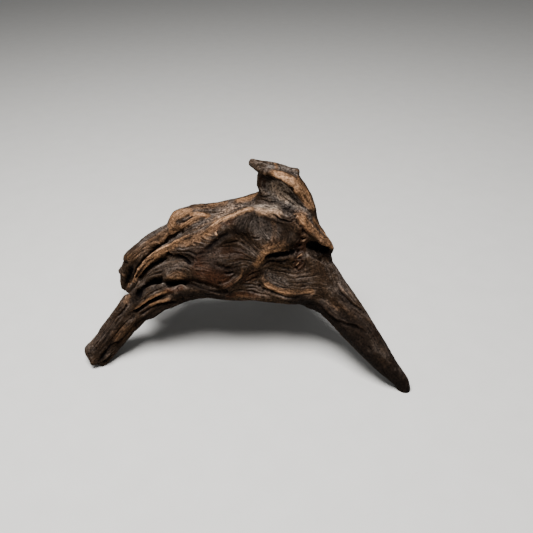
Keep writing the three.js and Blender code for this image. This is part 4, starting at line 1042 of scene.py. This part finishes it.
class Wood:
    """The skin's points with what the sculpting needs of them, all in millimetres."""

    def __init__(self, mesh):
        count = len(mesh.vertices)
        self.mesh = mesh
        self.at = np.empty(count * 3)
        mesh.vertices.foreach_get("co", self.at)
        self.at = self.at.reshape(-1, 3) / MM
        self.edges = np.empty(len(mesh.edges) * 2, dtype=np.int64)
        mesh.edges.foreach_get("vertices", self.edges)
        self.edges = self.edges.reshape(-1, 2)
        self.degree = np.maximum(np.bincount(self.edges.ravel(), minlength=count), 1)
        self.facing = np.empty((count, 3))

    def write(self):
        """Puts the points back into the mesh, none of them below the ground, and reads the new normals."""
        self.at[:, 2] = np.maximum(self.at[:, 2], 0)
        self.mesh.vertices.foreach_set("co", (self.at * MM).ravel())
        self.mesh.update()
        normals = np.empty(len(self.at) * 3)
        self.mesh.vertex_normals.foreach_get("vector", normals)
        self.facing = normals.reshape(-1, 3)

    def smoothed(self, values, rounds, share=0.5):
        """The values, spread to their neighbours along the edges round after round."""
        a, b = self.edges.T
        count = len(self.at)
        columns = values.reshape(count, -1).T.copy()
        for _ in range(rounds):
            for column in columns:
                total = np.bincount(a, column[b], count) + np.bincount(b, column[a], count)
                column += share * (total / self.degree - column)
        return columns.T.reshape(values.shape)

    def tree(self):
        """The skin's faces as a tree that looks can be cast at."""
        corners = np.empty(len(self.mesh.loops), dtype=np.int64)
        self.mesh.loops.foreach_get("vertex_index", corners)
        return BVHTree.FromPolygons(self.at.tolist(), corners.reshape(-1, 4).tolist())

    def near(self, line, reach):
        """Which points may lie within reach of a line."""
        low = line.min(axis=0) - reach
        high = line.max(axis=0) + reach
        return np.flatnonzero(np.all((self.at > low) & (self.at < high), axis=1))

    def keep(self, name, values):
        """Stores values on the mesh for its material."""
        kind = "FLOAT_VECTOR" if values.ndim == 2 else "FLOAT"
        field = "vector" if values.ndim == 2 else "value"
        stored = self.mesh.attributes.new(name, kind, "POINT").data
        stored.foreach_set(field, values.astype(np.float32).ravel())


def fused_limbs(voxel):
    """One even closed mesh over all the solid limbs, with the thin saw gaps between them filled."""
    fill = 0.22 * MM
    same_place = 0.001 * MM
    whole = bmesh.new()
    for node in NODES:
        limb = bmesh.new()
        limb.from_mesh(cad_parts[node].data)
        bmesh.ops.remove_doubles(limb, verts=limb.verts, dist=same_place)
        limb.normal_update()
        for vertex in limb.verts:
            vertex.co += vertex.normal * fill
        swollen = bpy.data.meshes.new(node + "_swollen")
        limb.to_mesh(swollen)
        limb.free()
        whole.from_mesh(swollen)
        bpy.data.meshes.remove(swollen)
    mesh = bpy.data.meshes.new(SKIN)
    whole.to_mesh(mesh)
    whole.free()
    skin = bpy.data.objects.new(SKIN, mesh)
    bpy.context.collection.objects.link(skin)
    remesh = skin.modifiers.new("even", "REMESH")
    remesh.mode = "VOXEL"
    remesh.voxel_size = voxel
    evaluated = skin.evaluated_get(bpy.context.evaluated_depsgraph_get())
    skin.data = bpy.data.meshes.new_from_object(evaluated)
    skin.modifiers.clear()
    bpy.data.meshes.remove(mesh)
    return skin


def relax_facets(wood):
    """Rounds off the solid model's facets without wearing its limbs thin."""
    rounds = 10
    once = wood.smoothed(wood.at, rounds)
    wood.at = 2 * once - wood.smoothed(once, rounds)
    wood.write()


class Carving:
    """What the drawn lines do to the wood: how far it moves in or out, and the fibres beside them."""

    def __init__(self, wood):
        count = len(wood.at)
        self.wood = wood
        self.ridges = np.zeros(count)
        self.grooves = np.zeros(count)
        self.fibres = np.zeros(count)
        self.cover = np.full(count, TINY)
        self.closest = np.full(count, np.inf)
        self.coordinates = np.zeros((count, 3))
        self.warped = swayed(wood.at, WOBBLE)
        self.uneven = UNEVEN_WIDTH["share"] * noise_of(UNEVEN_WIDTH, wood.at)
        self.strength = 1 + UNEVEN_DEPTH["share"] * noise_of(UNEVEN_DEPTH, wood.at)

    def carve(self, kind, width, height, line, facings):
        """Carves one stretch of a drawn line."""
        chosen = self.wood.near(line, max(2 * FLOW["reach"], LINE_REACH * width))
        offset, along, which = nearest_on(self.warped[chosen], line)
        away = np.linalg.norm(offset, axis=1)
        same_side = eased(dot(self.wood.facing[chosen], facings[which]), *SAME_SIDE)
        across = np.maximum(away / width + self.uneven[chosen], 0)
        height = height * same_side * self.strength[chosen]
        if kind != "pit":
            inside = eased(np.minimum(along, 1 - along), 0, LINE_ENDS["share"])
            height *= LINE_ENDS["height"] + (1 - LINE_ENDS["height"]) * inside
        if kind == "ridge":
            raised = np.exp(-(across**RIDGE_POWER))
        elif kind == "shelf":
            upward = np.cross(facings, np.gradient(line, axis=0))
            upward /= np.maximum(np.linalg.norm(upward, axis=1), TINY)[:, None]
            side = dot(offset, upward[which])
            slope = np.clip(1 - side / width, 0, 1) ** SHELF_POWER
            drop = np.exp(-((side / SHELF_DROP) ** 2)) * np.exp(-((away / (2 * SHELF_DROP)) ** 2))
            raised = np.where(side > 0, slope, drop)
        else:
            from_edge = (across - GROOVE_EDGE["at"]) / GROOVE_EDGE["wide"]
            raised = GROOVE_EDGE["height"] * np.exp(-(from_edge**2))
            self.grooves[chosen] = np.maximum(self.grooves[chosen], height * np.exp(-(across**2)))
        self.ridges[chosen] = np.maximum(self.ridges[chosen], height * raised)
        if kind != "pit":
            self.flow(line, chosen, offset, along, same_side)

    def flow(self, line, chosen, offset, along, same_side):
        """Lets fibres run beside the line, and the material's grain where no other line is closer."""
        away = np.linalg.norm(offset, axis=1)
        course = line[-1] - line[0]
        length = np.linalg.norm(course)
        course = course / max(length, TINY)
        run = along * length
        noise = noise_at(offset / FLOW["wide"] + course * (run / FLOW["long"])[:, None] + SEED_STEP)
        hold = np.exp(-((away / FLOW["reach"]) ** 2)) * same_side
        self.fibres[chosen] += hold * threads(noise)
        self.cover[chosen] += hold
        closer = away < self.closest[chosen]
        winners = chosen[closer]
        self.closest[winners] = away[closer]
        stretched = course * (run[closer] / GRAIN_STRETCH)[:, None]
        self.coordinates[winners] = offset[closer] + stretched + line[0]


def carve_lines(wood, tree):
    """Carves every table of drawn lines."""
    steps = 4
    carving = Carving(wood)
    tables = (
        (FRONT_LINES, front_sight),
        (BACK_LINES, back_sight),
        (TOP_LINES, top_sight),
        (UNDER_LINES, under_sight),
    )
    for lines, sight in tables:
        for kind, name, width, height, path in lines:
            for line, facings in laid_on(tree, sight, path, steps, name):
                carving.carve(kind, width, height, line, facings)
    carving.fibres /= carving.cover
    carving.cover = np.minimum(carving.cover, 1)
    return carving


def pull_outline(wood, tree):
    """Moves parts of the wood sideways in the eye's view or towards the eye, as a soft brush does."""
    roll_sin, roll_cos = math.sin(EYE_ROLL), math.cos(EYE_ROLL)
    pitch_sin, pitch_cos = math.sin(EYE_PITCH), math.cos(EYE_PITCH)
    right = np.array([roll_cos, -roll_sin * pitch_sin, -roll_sin * pitch_cos])
    down = np.array([roll_sin, -roll_cos * pitch_sin, -roll_cos * pitch_cos])
    near = np.array([0, -pitch_cos, pitch_sin])
    moved = np.zeros_like(wood.at)
    for name, (across, low), radius, shift in PULLS:
        hit = tree.ray_cast(*front_sight(across, low))[0]
        if hit is None:
            raise RuntimeError(f"{name} misses the wood")
        centre = np.array(hit)
        hold = np.exp(-np.sum((wood.at - centre) ** 2, axis=1) / radius**2)
        mm_per_pixel = np.linalg.norm(centre - EYE) / VIEW_REACH
        moved += hold[:, None] * (np.array(shift) @ (right, down, near)) * mm_per_pixel
    wood.at += moved
    wood.write()


def along_limb(points, spine):
    """For points near a limb: distance to its surface, offset from its axis and run along it."""
    steps = 3
    path = smooth_path(spine, steps)
    best = np.full(len(points), np.inf)
    offset = np.zeros((len(points), 3))
    run = np.zeros(len(points))
    before = 0.0
    for a, b in zip(path, path[1:]):
        span = b[:3] - a[:3]
        long = np.linalg.norm(span)
        held = np.clip((points - a[:3]) @ span / long**2, 0, 1)
        out = points - a[:3] - held[:, None] * span
        distance = np.linalg.norm(out, axis=1) - a[3] - held * (b[3] - a[3])
        closer = distance < best
        best[closer] = distance[closer]
        offset[closer] = out[closer]
        run[closer] = before + held[closer] * long
        before += long
    return best, offset, run


def grain_of(wood, knots):
    """The grain's relief in mm, its fibres, its ring lines, its cracks and its coordinates at each point."""
    fade = 3.0
    reach = 12.0
    pushed = swayed(wood.at, WAVER)
    for centre, radius in knots:
        out = wood.at - centre
        pushed -= KNOT_PUSH * out * np.exp(-np.sum(out**2, axis=1) / radius**2)[:, None]
    count = len(wood.at)
    sums = {name: np.zeros(count) for name in ("relief", "fibres", "rings", "cracks", "weight", "rough")}
    nearest = np.full(count, np.inf)
    coordinates = np.zeros((count, 3))
    for index, limb in enumerate(LIMBS.values()):
        spine = np.array(limb["spine"], dtype=float)
        spine[:, :3] -= DRAWN_FROM
        chosen = wood.near(spine[:, :3], spine[:, 3].max() + reach)
        surface, offset, run = along_limb(pushed[chosen], spine)
        close = surface < reach
        chosen, surface, offset, run = chosen[close], surface[close], offset[close], run[close]
        axis = spine[-1, :3] - spine[0, :3]
        axis /= np.linalg.norm(axis)
        shift = SEED_STEP * (index + 1)

        def layer(pattern):
            place = offset / pattern["wide"] + axis * (run / pattern["long"])[:, None]
            return noise_at(place + shift + pattern["shift"])

        def patches(pattern, side):
            return eased(noise_at(wood.at[chosen] / pattern["patch"] + side * shift), *pattern["edge"])

        fibres = threads(layer(FIBRES))
        splits = furrows_of(layer(SPLITS), SPLITS["open"]) * patches(SPLITS, 1)
        checks = furrows_of(layer(CHECKS), CHECKS["open"]) * patches(CHECKS, -1)
        rings = np.sin(2 * np.pi * np.linalg.norm(offset, axis=1) / RINGS["apart"])
        strands = threads(layer(STRANDS))
        relief = RIBS["high"] * layer(RIBS) + STRANDS["high"] * strands + FIBRES["high"] * fibres
        cracks = SPLITS["deep"] * splits * limb["rough"] + CHECKS["deep"] * checks * limb["checked"]
        weight = np.exp(-surface / fade)
        sums["relief"][chosen] += weight * relief * limb["rough"]
        sums["fibres"][chosen] += weight * fibres
        sums["rings"][chosen] += weight * rings * limb["rough"]
        sums["cracks"][chosen] += weight * cracks
        sums["rough"][chosen] += weight * limb["rough"]
        sums["weight"][chosen] += weight
        closer = surface < nearest[chosen]
        winners = chosen[closer]
        nearest[winners] = surface[closer]
        stretched = axis * (run[closer] / GRAIN_STRETCH)[:, None]
        coordinates[winners] = offset[closer] + stretched + shift
    weights = np.maximum(sums.pop("weight"), TINY)
    fields = {name: total / weights for name, total in sums.items()}
    fields["coordinates"] = coordinates
    return fields


def tones_of(wood, tree):
    """How much of each tone lies on each point, from the drawn patches."""
    steps = 3
    ragged = sum(edge["share"] * noise_of(edge, wood.at) for edge in RAGGED_EDGES)
    tones = {tone: np.zeros(len(wood.at)) for tone in FRONT_TONES}
    for tone, patches in FRONT_TONES.items():
        for name, radius, strength, path in patches:
            for line, facings in laid_on(tree, front_sight, path, steps, name):
                size = radius * np.linalg.norm(line.mean(axis=0) - EYE) / VIEW_REACH
                chosen = wood.near(line, PATCH_REACH * size)
                offset, _, which = nearest_on(wood.at[chosen], line)
                inside = eased(np.linalg.norm(offset, axis=1) / size + ragged[chosen], *PATCH_FADE)
                same_side = eased(dot(wood.facing[chosen], facings[which]), *PATCH_SIDE)
                tones[tone][chosen] = np.maximum(tones[tone][chosen], inside * same_side * strength)
    return tones


def seen_from_eye(wood, tree):
    """1 where the eye sees the wood and 0 where it doesn't, softened."""
    clear = 1.5
    soft_rounds = 12
    to_eye = EYE - wood.at
    far = np.linalg.norm(to_eye, axis=1)
    to_eye /= far[:, None]
    seen = np.zeros(len(wood.at))
    for i in np.flatnonzero(dot(wood.facing, to_eye) > 0):
        start = Vector(wood.at[i] + clear * wood.facing[i])
        if tree.ray_cast(start, Vector(to_eye[i]), far[i])[0] is None:
            seen[i] = 1
    return wood.smoothed(seen, soft_rounds)


def parted_knots(tree):
    """The knots' middles on the wood, with their radii."""
    knots = []
    for across, down, radius in KNOTS:
        hit = tree.ray_cast(*front_sight(across, down))[0]
        if hit is None:
            raise RuntimeError("a knot misses the wood")
        knots.append((np.array(hit), radius))
    return knots


def wrinkles_of(wood, wrinkled):
    """Short cracks across the wrinkled wood: how far they move it, and how far each point is in one."""
    size = np.array([WRINKLES["long"], WRINKLES["wide"], WRINKLES["wide"]])
    furrows = furrows_of(noise_at(wood.at / size + WRINKLES["shift"]), WRINKLES["open"])
    furrows *= wrinkled * eased(noise_of(WRINKLE_BREAKS, wood.at), *WRINKLE_BREAKS["edge"])
    return (WRINKLES["lift"] * wrinkled - furrows) * WRINKLES["deep"], furrows


def weather(wood):
    """Sculpts the drawn lines and the grain into the skin, and stores its relief and its tones."""
    pull_outline(wood, wood.tree())
    tree = wood.tree()
    tones = tones_of(wood, tree)
    seen = seen_from_eye(wood, tree)
    carving = carve_lines(wood, tree)
    grain = grain_of(wood, parted_knots(tree))
    smooth = tones.pop("smooth")
    wrinkles, furrows = wrinkles_of(wood, tones.pop("wrinkled"))

    def left(form, ruler):
        """What is left of a form where another one rules."""
        return 1 - YIELDS[form] * ruler

    beside = FLOW["hold"] * carving.cover
    fibres = grain["fibres"] * (1 - beside) + carving.fibres * beside
    fibres *= left("fibres to smooth wood", smooth)
    lumps = LUMPS["high"] * noise_of(LUMPS, wood.at) * grain["rough"] * left("lumps to the seen side", seen)
    cracks = grain["cracks"] * left("cracks to the seen side", seen) * (1 - smooth)
    rings = RINGS["high"] * grain["rings"] * left("rings to the seen side", seen)
    ground = (grain["relief"] * left("grain to lines", beside) + rings) * left("grain to smooth wood", smooth)
    flow = FLOW["high"] * carving.fibres * beside * left("flow to smooth wood", smooth)
    drawn = carving.ridges - carving.grooves
    calm = left("relief to drawn lines", eased(np.abs(drawn), *DRAWN_HEIGHTS))
    out = drawn + (ground + flow) * calm - cracks + wrinkles + lumps
    out *= eased(wood.at[:, 2], *ABOVE_GROUND)
    wood.at += wood.facing * out[:, None]
    wood.write()

    near_mean = wood.smoothed(wood.at, CREST["rounds"])
    wide_mean = wood.smoothed(near_mean, SWELL["rounds"])
    broad = dot(wood.at - wide_mean, wood.facing)
    wood.keep("crest", np.clip(dot(wood.at - near_mean, wood.facing) / CREST["full"], -1, 1))
    wood.keep("swell", np.clip(broad / SWELL["full"], -1, 1))
    # The crack attribute is painted shade, deepest in the cracks, the drawn grooves and the wrinkles.
    dark = CRACK_SHADE * cracks + eased(carving.grooves, *GROOVE_DEPTHS) + WRINKLE_SHADE * furrows
    wood.keep("crack", np.clip(dark, 0, 1))
    wood.keep("fibre", np.clip(fibres, -1, 1))
    wood.keep("smooth", smooth)
    by_line = carving.closest < GRAIN_REACH
    wood.keep("grain", np.where(by_line[:, None], carving.coordinates, grain["coordinates"]))
    for tone, wild in wild_tones(wood, broad, 1 - seen).items():
        wood.keep(tone, np.maximum(tones[tone], wild))


def wild_tones(wood, broad, unseen):
    """The tones that the wood takes by its shape: silver on top, worn on crests, painted shade where it faces
    down and darker towards the ground.

    Each comes in between two thresholds, and most of it stays away where the tones are drawn.
    """
    patchy = sum(patch["share"] * noise_of(patch, wood.at) for patch in WILD_PATCHES)
    up = wood.facing[:, 2]
    crest = eased(broad, 0.2, 1.6)
    # Painted shade on wood that faces down.
    below = 0.8 * eased(-up + 0.5 * patchy, 0.35, 1.1)
    # Darker towards the ground.
    foot = DARKER_NEAR_GROUND["share"] * eased(wood.at[:, 2], *DARKER_NEAR_GROUND["heights"])
    wild = {
        "worn": eased(patchy, 0.12, 0.5) * (0.35 + 0.65 * crest),
        "pale": 0.7 * eased(patchy + 0.5 * up, 0.55, 1.0) * crest,
        "silver": 0.75 * eased(up + patchy, 0.1, 1.0),
        "ash": 0.4 * eased(up + patchy, 0.7, 1.4) * unseen,
        "red": 0.6 * eased(-patchy, 0.15, 0.6),
        "stain_and_shade": np.maximum(below, foot),
    }
    return {tone: amount * (0.3 + 0.7 * unseen) for tone, amount in wild.items()}


def linear(hex_colour):
    """An sRGB hex colour as the linear values that a shader works in."""
    parts = [int(hex_colour[i : i + 2], 16) / 255 for i in (1, 3, 5)]
    return tuple(p / 12.92 if p <= 0.04045 else ((p + 0.055) / 1.055) ** 2.4 for p in parts)


def shade(name, description, hex_colour):
    """A colour on the panel."""
    return FloatVectorProperty(
        name=name, description=description, subtype="COLOR", size=3, min=0, max=1, default=linear(hex_colour),
    )


class Shades(bpy.types.PropertyGroup):
    """Colours of the weathered wood."""

    brown: shade("Brown", "Weathered wood between the patches", "#2f2217")
    deep: shade("Deep brown", "Wood in the furrows of the grain", "#110c08")
    silver: shade("Silver", "Wood bleached grey", "#5d554f")
    # Also painted light on the flute, where the lip shades it.
    ash: shade("Ash", "Wood bleached the palest grey", "#a08d7b")
    worn: shade("Worn", "Orange-brown wood where the surface is rubbed off", "#6d4f36")
    # Also a painted highlight on the lip's worn face, the front ridge's crest and the flute.
    pale: shade("Pale", "Fresh or bleached wood on the brightest crests", "#a27e60")
    red: shade("Red brown", "Smooth heartwood", "#2e190e")
    # The wood's dark stain, and painted shade under the limbs and in the hollows.
    stain_and_shade: shade("Stain", "Damp and shaded wood", "#120c08")
    # Painted shade at the bottom of the cracks, grooves and wrinkles.
    crack: shade("Crack", "Bottom of the cracks", "#060404")


class Skin(bpy.types.PropertyGroup):
    """Sizes of the weathered skin."""

    voxel: FloatProperty(
        name="Voxel", description="Grid of the skin before it is sculpted", unit="LENGTH",
        min=0.0004, max=0.004, default=0.0006,
    )
    pores: FloatProperty(
        name="Pore width", description="Width of the finest fibres in the material", unit="LENGTH",
        min=0.0002, max=0.002, default=0.0009,
    )


class Light(bpy.types.PropertyGroup):
    """The stage's light."""

    overhead: FloatProperty(
        name="Overhead", description="Power of the wide light over the piece", unit="POWER", min=0,
        default=36,
    )
    backdrop: FloatProperty(
        name="Backdrop", description="What the view adds to the light around", min=0, default=0.7,
    )
    around: FloatProperty(
        name="Around", description="Strength of the light from all sides", min=0, default=0.21,
    )


def add_node(tree, kind, inputs=None, **settings):
    """Adds a node, sets its settings, and fills or links its inputs by name or number."""
    node = tree.nodes.new(kind)
    for key, value in settings.items():
        setattr(node, key, value)
    for key, value in (inputs or {}).items():
        socket = node.inputs[key]
        if isinstance(value, bpy.types.NodeSocket):
            tree.links.new(value, socket)
        else:
            socket.default_value = value
    return node


def weathered_driftwood(shades, skin):
    """Driftwood: root wood stripped by water and dried, with soft wood worn out between hard fibres.

    It is dull all over, brown in the furrows, silver where the sun bleached it and orange-brown where its
    crests are rubbed. Its grain runs as the sculpted skin's does. Real pores are about 0.2 mm wide, too fine
    to show, so they are drawn as coarse as the panel says.
    """
    # The colour layers paint shade into the cracks, hollows and undersides, and light onto the relief and the
    # flute.
    material = bpy.data.materials.new("weathered_driftwood")
    material.use_nodes = True
    tree = material.node_tree
    tree.nodes.clear()
    place = add_node(tree, "ShaderNodeTexCoord").outputs["Object"]
    grain = add_node(tree, "ShaderNodeAttribute", attribute_name="grain").outputs["Vector"]

    values = {}
    for name in ("crest", "swell", "crack", "fibre", "smooth", "red", "stain_and_shade", *PATCH_TONES):
        values[name] = add_node(tree, "ShaderNodeAttribute", attribute_name=name).outputs["Fac"]
    patterns = (
        ("pores", grain, skin.pores / MM, 3.0),
        ("strong streaks", grain, STREAK, 4.0),
        ("hairs", grain, HAIR, 3.0),
        ("clouds", place, CLOUD * MM, 5.0),
        ("specks", place, SPECK * MM, 2.0),
    )
    for name, vector, width, detail in patterns:
        inputs = {"Vector": vector, "Scale": 1 / width, "Detail": detail}
        values[name] = add_node(tree, "ShaderNodeTexNoise", inputs).outputs[0]
    for name, operation, terms in SUMS:
        inputs = {i: values.get(term, term) for i, term in enumerate(terms)}
        made = add_node(tree, "ShaderNodeMath", inputs, operation=operation, use_clamp=name in CLAMPED)
        values[name] = made.outputs[0]

    # Colours laid over the deep brown of the furrows, one after another, with the relief's light on top.
    light = add_node(tree, "ShaderNodeCombineColor", {channel: values["light"] for channel in range(3)})
    shares = {"brown share": shades.brown, "red share": shades.red}
    shares |= {f"{tone} share": getattr(shades, tone) for tone in PATCH_TONES}
    shares |= {"stain share": shades.stain_and_shade}
    layers = [(values[share], (*paint, 1.0), "MIX") for share, paint in shares.items()]
    layers.append((1.0, light.outputs[0], "MULTIPLY"))
    layers.append((values["crack share"], (*shades.crack, 1.0), "MIX"))
    colour = (*shades.deep, 1.0)
    for share, paint, blend in layers:
        inputs = {MIX_SHARE: share, MIX_UNDER: colour, MIX_OVER: paint}
        colour = add_node(tree, "ShaderNodeMix", inputs, data_type="RGBA", blend_type=blend).outputs[MIX_MADE]

    relief = {"Strength": 0.9, "Distance": BUMP * MM, "Height": values["height"]}
    wood = {
        "Base Color": colour,
        "Roughness": values["roughness"],
        "Normal": add_node(tree, "ShaderNodeBump", relief).outputs[0],
        "IOR": 1.45,
        "Specular IOR Level": 0.06,
    }
    surface = add_node(tree, "ShaderNodeBsdfPrincipled", wood).outputs[0]
    add_node(tree, "ShaderNodeOutputMaterial", {"Surface": surface})
    return material


class DRIFTWOOD_OT_skin(bpy.types.Operator):
    """Grow one weathered skin over all the limbs"""

    bl_idname = "driftwood.skin"
    bl_label = "Weathered Skin"

    def execute(self, context):
        scene = context.scene
        skin = fused_limbs(scene.driftwood_skin.voxel)
        wood = Wood(skin.data)
        relax_facets(wood)
        weather(wood)
        wood.keep("whole_normal", wood.facing)
        skin.data.materials.clear()
        skin.data.materials.append(weathered_driftwood(scene.driftwood_shades, scene.driftwood_skin))
        return {"FINISHED"}


def saw(skin, cut):
    """Cuts the skin through at one fork and returns the faces beyond the cut."""
    touching = 0.0005 * MM
    too_much = 0.75
    at = (Vector(cut["at"]) - Vector(DRAWN_FROM)) * MM
    beyond = (Vector(cut["beyond"]) - Vector(DRAWN_FROM)) * MM
    facing = Vector(cut["facing"]).normalized()
    reach = cut["reach"] * MM
    clear_of_cut = reach / 8
    close = [face for face in skin.faces if (face.calc_center_median() - at).length < reach]
    parts = {part for face in close for part in (*face.verts, *face.edges, face)}
    made = bmesh.ops.bisect_plane(skin, geom=list(parts), dist=touching, plane_co=at, plane_no=facing)
    sawn = {edge for edge in made["geom_cut"] if isinstance(edge, bmesh.types.BMEdge)}
    start = min(
        (face for face in skin.faces if (face.calc_center_median() - at).dot(facing) > clear_of_cut),
        key=lambda face: (face.calc_center_median() - beyond).length,
    )
    taken = {start}
    waiting = [start]
    while waiting:
        for edge in waiting.pop().edges:
            if edge in sawn:
                continue
            for face in edge.link_faces:
                if face not in taken:
                    taken.add(face)
                    waiting.append(face)
    if len(taken) > len(skin.faces) * too_much:
        raise RuntimeError(f"the saw doesn't go through at {cut['piece']}")
    return taken


def piece_of(skin, number, name, material):
    """The faces with this number as a closed piece, shaded as the whole skin is."""
    cap_number = -1
    part = skin.copy()
    layer = part.faces.layers.int["limb"]
    doomed = [face for face in part.faces if face[layer] != number]
    bmesh.ops.delete(part, geom=doomed, context="FACES")
    rim = [edge for edge in part.edges if edge.is_boundary]
    caps = bmesh.ops.holes_fill(part, edges=rim, sides=0)["faces"]
    for cap in caps:
        cap[layer] = cap_number
    bmesh.ops.triangulate(part, faces=caps)
    bmesh.ops.recalc_face_normals(part, faces=part.faces)
    if part.calc_volume(signed=True) < 0:
        bmesh.ops.reverse_faces(part, faces=part.faces)
    for face in part.faces:
        face.smooth = True
    whole = part.verts.layers.float_vector["whole_normal"]
    normals = []
    for face in part.faces:
        capped = face[layer] == cap_number
        normals.extend(face.normal[:] if capped else corner.vert[whole][:] for corner in face.loops)
    mesh = bpy.data.meshes.new(name)
    part.to_mesh(mesh)
    part.free()
    mesh.normals_split_custom_set(normals)
    for spare in ("whole_normal", "limb"):
        mesh.attributes.remove(mesh.attributes[spare])
    mesh.materials.append(material)
    piece = bpy.data.objects.new(name, mesh)
    bpy.context.collection.objects.link(piece)
    return piece


class DRIFTWOOD_OT_limbs(bpy.types.Operator):
    """Saw the skin into the limbs and let each stand for its solid"""

    bl_idname = "driftwood.limbs"
    bl_label = "Limbs"

    def execute(self, context):
        source = bpy.data.objects[SKIN]
        material = source.data.materials[0]
        skin = bmesh.new()
        skin.from_mesh(source.data)
        layer = skin.faces.layers.int.new("limb")
        names = ["trunk_right"] + [cut["piece"] for cut in CUTS]
        for number, cut in enumerate(CUTS, start=1):
            for face in saw(skin, cut):
                if face[layer] == 0:
                    face[layer] = number
        for number, name in enumerate(names):
            piece = piece_of(skin, number, name + "_wood", material)
            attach(piece, "root")
            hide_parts(NODE_OF.get(name, name))
        skin.free()
        mesh = source.data
        bpy.data.objects.remove(source)
        bpy.data.meshes.remove(mesh)
        return {"FINISHED"}


def plain_floor():
    """A pale painted board, matt and even, that takes soft shadows."""
    mottle_width = 25
    material = bpy.data.materials.new("pale_matt_paint")
    material.use_nodes = True
    tree = material.node_tree
    tree.nodes.clear()
    place = add_node(tree, "ShaderNodeTexCoord").outputs["Object"]
    pattern = {"Vector": place, "Scale": 1 / (mottle_width * MM), "Detail": 3.0}
    mottle = add_node(tree, "ShaderNodeTexNoise", pattern).outputs[0]
    ramp = add_node(tree, "ShaderNodeValToRGB", {"Fac": mottle})
    for stop, hex_colour in zip(ramp.color_ramp.elements, ("#bcbab6", "#c4c2be")):
        stop.color = (*linear(hex_colour), 1.0)
    paint = {"Base Color": ramp.outputs[0], "Roughness": 0.9}
    surface = add_node(tree, "ShaderNodeBsdfPrincipled", paint).outputs[0]
    add_node(tree, "ShaderNodeOutputMaterial", {"Surface": surface})
    return material


class DRIFTWOOD_OT_stage(bpy.types.Operator):
    """Lay the pale floor, hang the soft light and set the camera"""

    bl_idname = "driftwood.stage"
    bl_label = "Stage"

    def execute(self, context):
        # The room is laid out in metres.
        floor_half = 3.0
        lamp_size = (0.6, 0.45)
        lamp_place = Vector((-0.14, -0.22, 1.08))
        lamp_aim = Vector((0.0, 0.0, 0.08))
        nearest_seen = 0.01
        sensor = 36.0
        shape = bmesh.new()
        bmesh.ops.create_grid(shape, x_segments=1, y_segments=1, size=floor_half)
        mesh = bpy.data.meshes.new("floor")
        shape.to_mesh(mesh)
        shape.free()
        mesh.materials.append(plain_floor())
        floor = bpy.data.objects.new("floor", mesh)
        context.collection.objects.link(floor)

        light = context.scene.driftwood_light
        lamp = bpy.data.lights.new("overhead", "AREA")
        lamp.shape = "RECTANGLE"
        lamp.size, lamp.size_y = lamp_size
        lamp.energy = light.overhead
        hung = bpy.data.objects.new("overhead", lamp)
        hung.location = lamp_place
        hung.rotation_euler = (lamp_aim - lamp_place).to_track_quat("-Z", "Y").to_euler()
        context.collection.objects.link(hung)

        world = bpy.data.worlds.new("soft_room")
        world.use_nodes = True
        backdrop = world.node_tree.nodes["Background"]
        backdrop.inputs["Color"].default_value = (*linear("#eef0f2"), 1.0)
        directly_seen = add_node(world.node_tree, "ShaderNodeLightPath").outputs["Is Camera Ray"]
        strength = add_node(
            world.node_tree, "ShaderNodeMath", {0: directly_seen, 1: light.backdrop, 2: light.around},
            operation="MULTIPLY_ADD",
        )
        world.node_tree.links.new(strength.outputs[0], backdrop.inputs["Strength"])
        context.scene.world = world

        lens = bpy.data.cameras.new("eye")
        lens.sensor_width = sensor
        lens.lens = VIEW_REACH / VIEW_SIZE * sensor
        lens.clip_start = nearest_seen
        camera = bpy.data.objects.new("eye", lens)
        pitch = Matrix.Rotation(math.pi / 2 - EYE_PITCH, 4, "X")
        roll = Matrix.Rotation(EYE_ROLL, 4, "Z")
        camera.matrix_world = Matrix.Translation(Vector(EYE) * MM) @ pitch @ roll
        context.collection.objects.link(camera)
        context.scene.camera = camera
        return {"FINISHED"}


class DRIFTWOOD_PT_panel(bpy.types.Panel):
    """Lists the steps of the driftwood and its settings"""

    bl_idname = "DRIFTWOOD_PT_panel"
    bl_label = "Driftwood"
    bl_space_type = "VIEW_3D"
    bl_region_type = "UI"
    bl_category = "Driftwood"

    def draw(self, context):
        scene = context.scene
        for group in (scene.driftwood_skin, scene.driftwood_shades, scene.driftwood_light):
            box = self.layout.box()
            for name in group.bl_rna.properties.keys():
                if name not in ("rna_type", "name"):
                    box.prop(group, name)
        for step in STEPS:
            self.layout.operator(step.bl_idname)

STEPS = (DRIFTWOOD_OT_skin, DRIFTWOOD_OT_limbs, DRIFTWOOD_OT_stage)
GROUPS = {"driftwood_skin": Skin, "driftwood_shades": Shades, "driftwood_light": Light}


def register():
    for group in GROUPS.values():
        bpy.utils.register_class(group)
    for name, group in GROUPS.items():
        setattr(bpy.types.Scene, name, PointerProperty(type=group))
    for part in (*STEPS, DRIFTWOOD_PT_panel):
        bpy.utils.register_class(part)


def unregister():
    for part in (DRIFTWOOD_PT_panel, *reversed(STEPS)):
        bpy.utils.unregister_class(part)
    for name, group in GROUPS.items():
        delattr(bpy.types.Scene, name)
        bpy.utils.unregister_class(group)


def main():
    register()
    bpy.ops.driftwood.skin()
    bpy.ops.driftwood.limbs()
    bpy.ops.driftwood.stage()


if __name__ == "__main__":
    main()
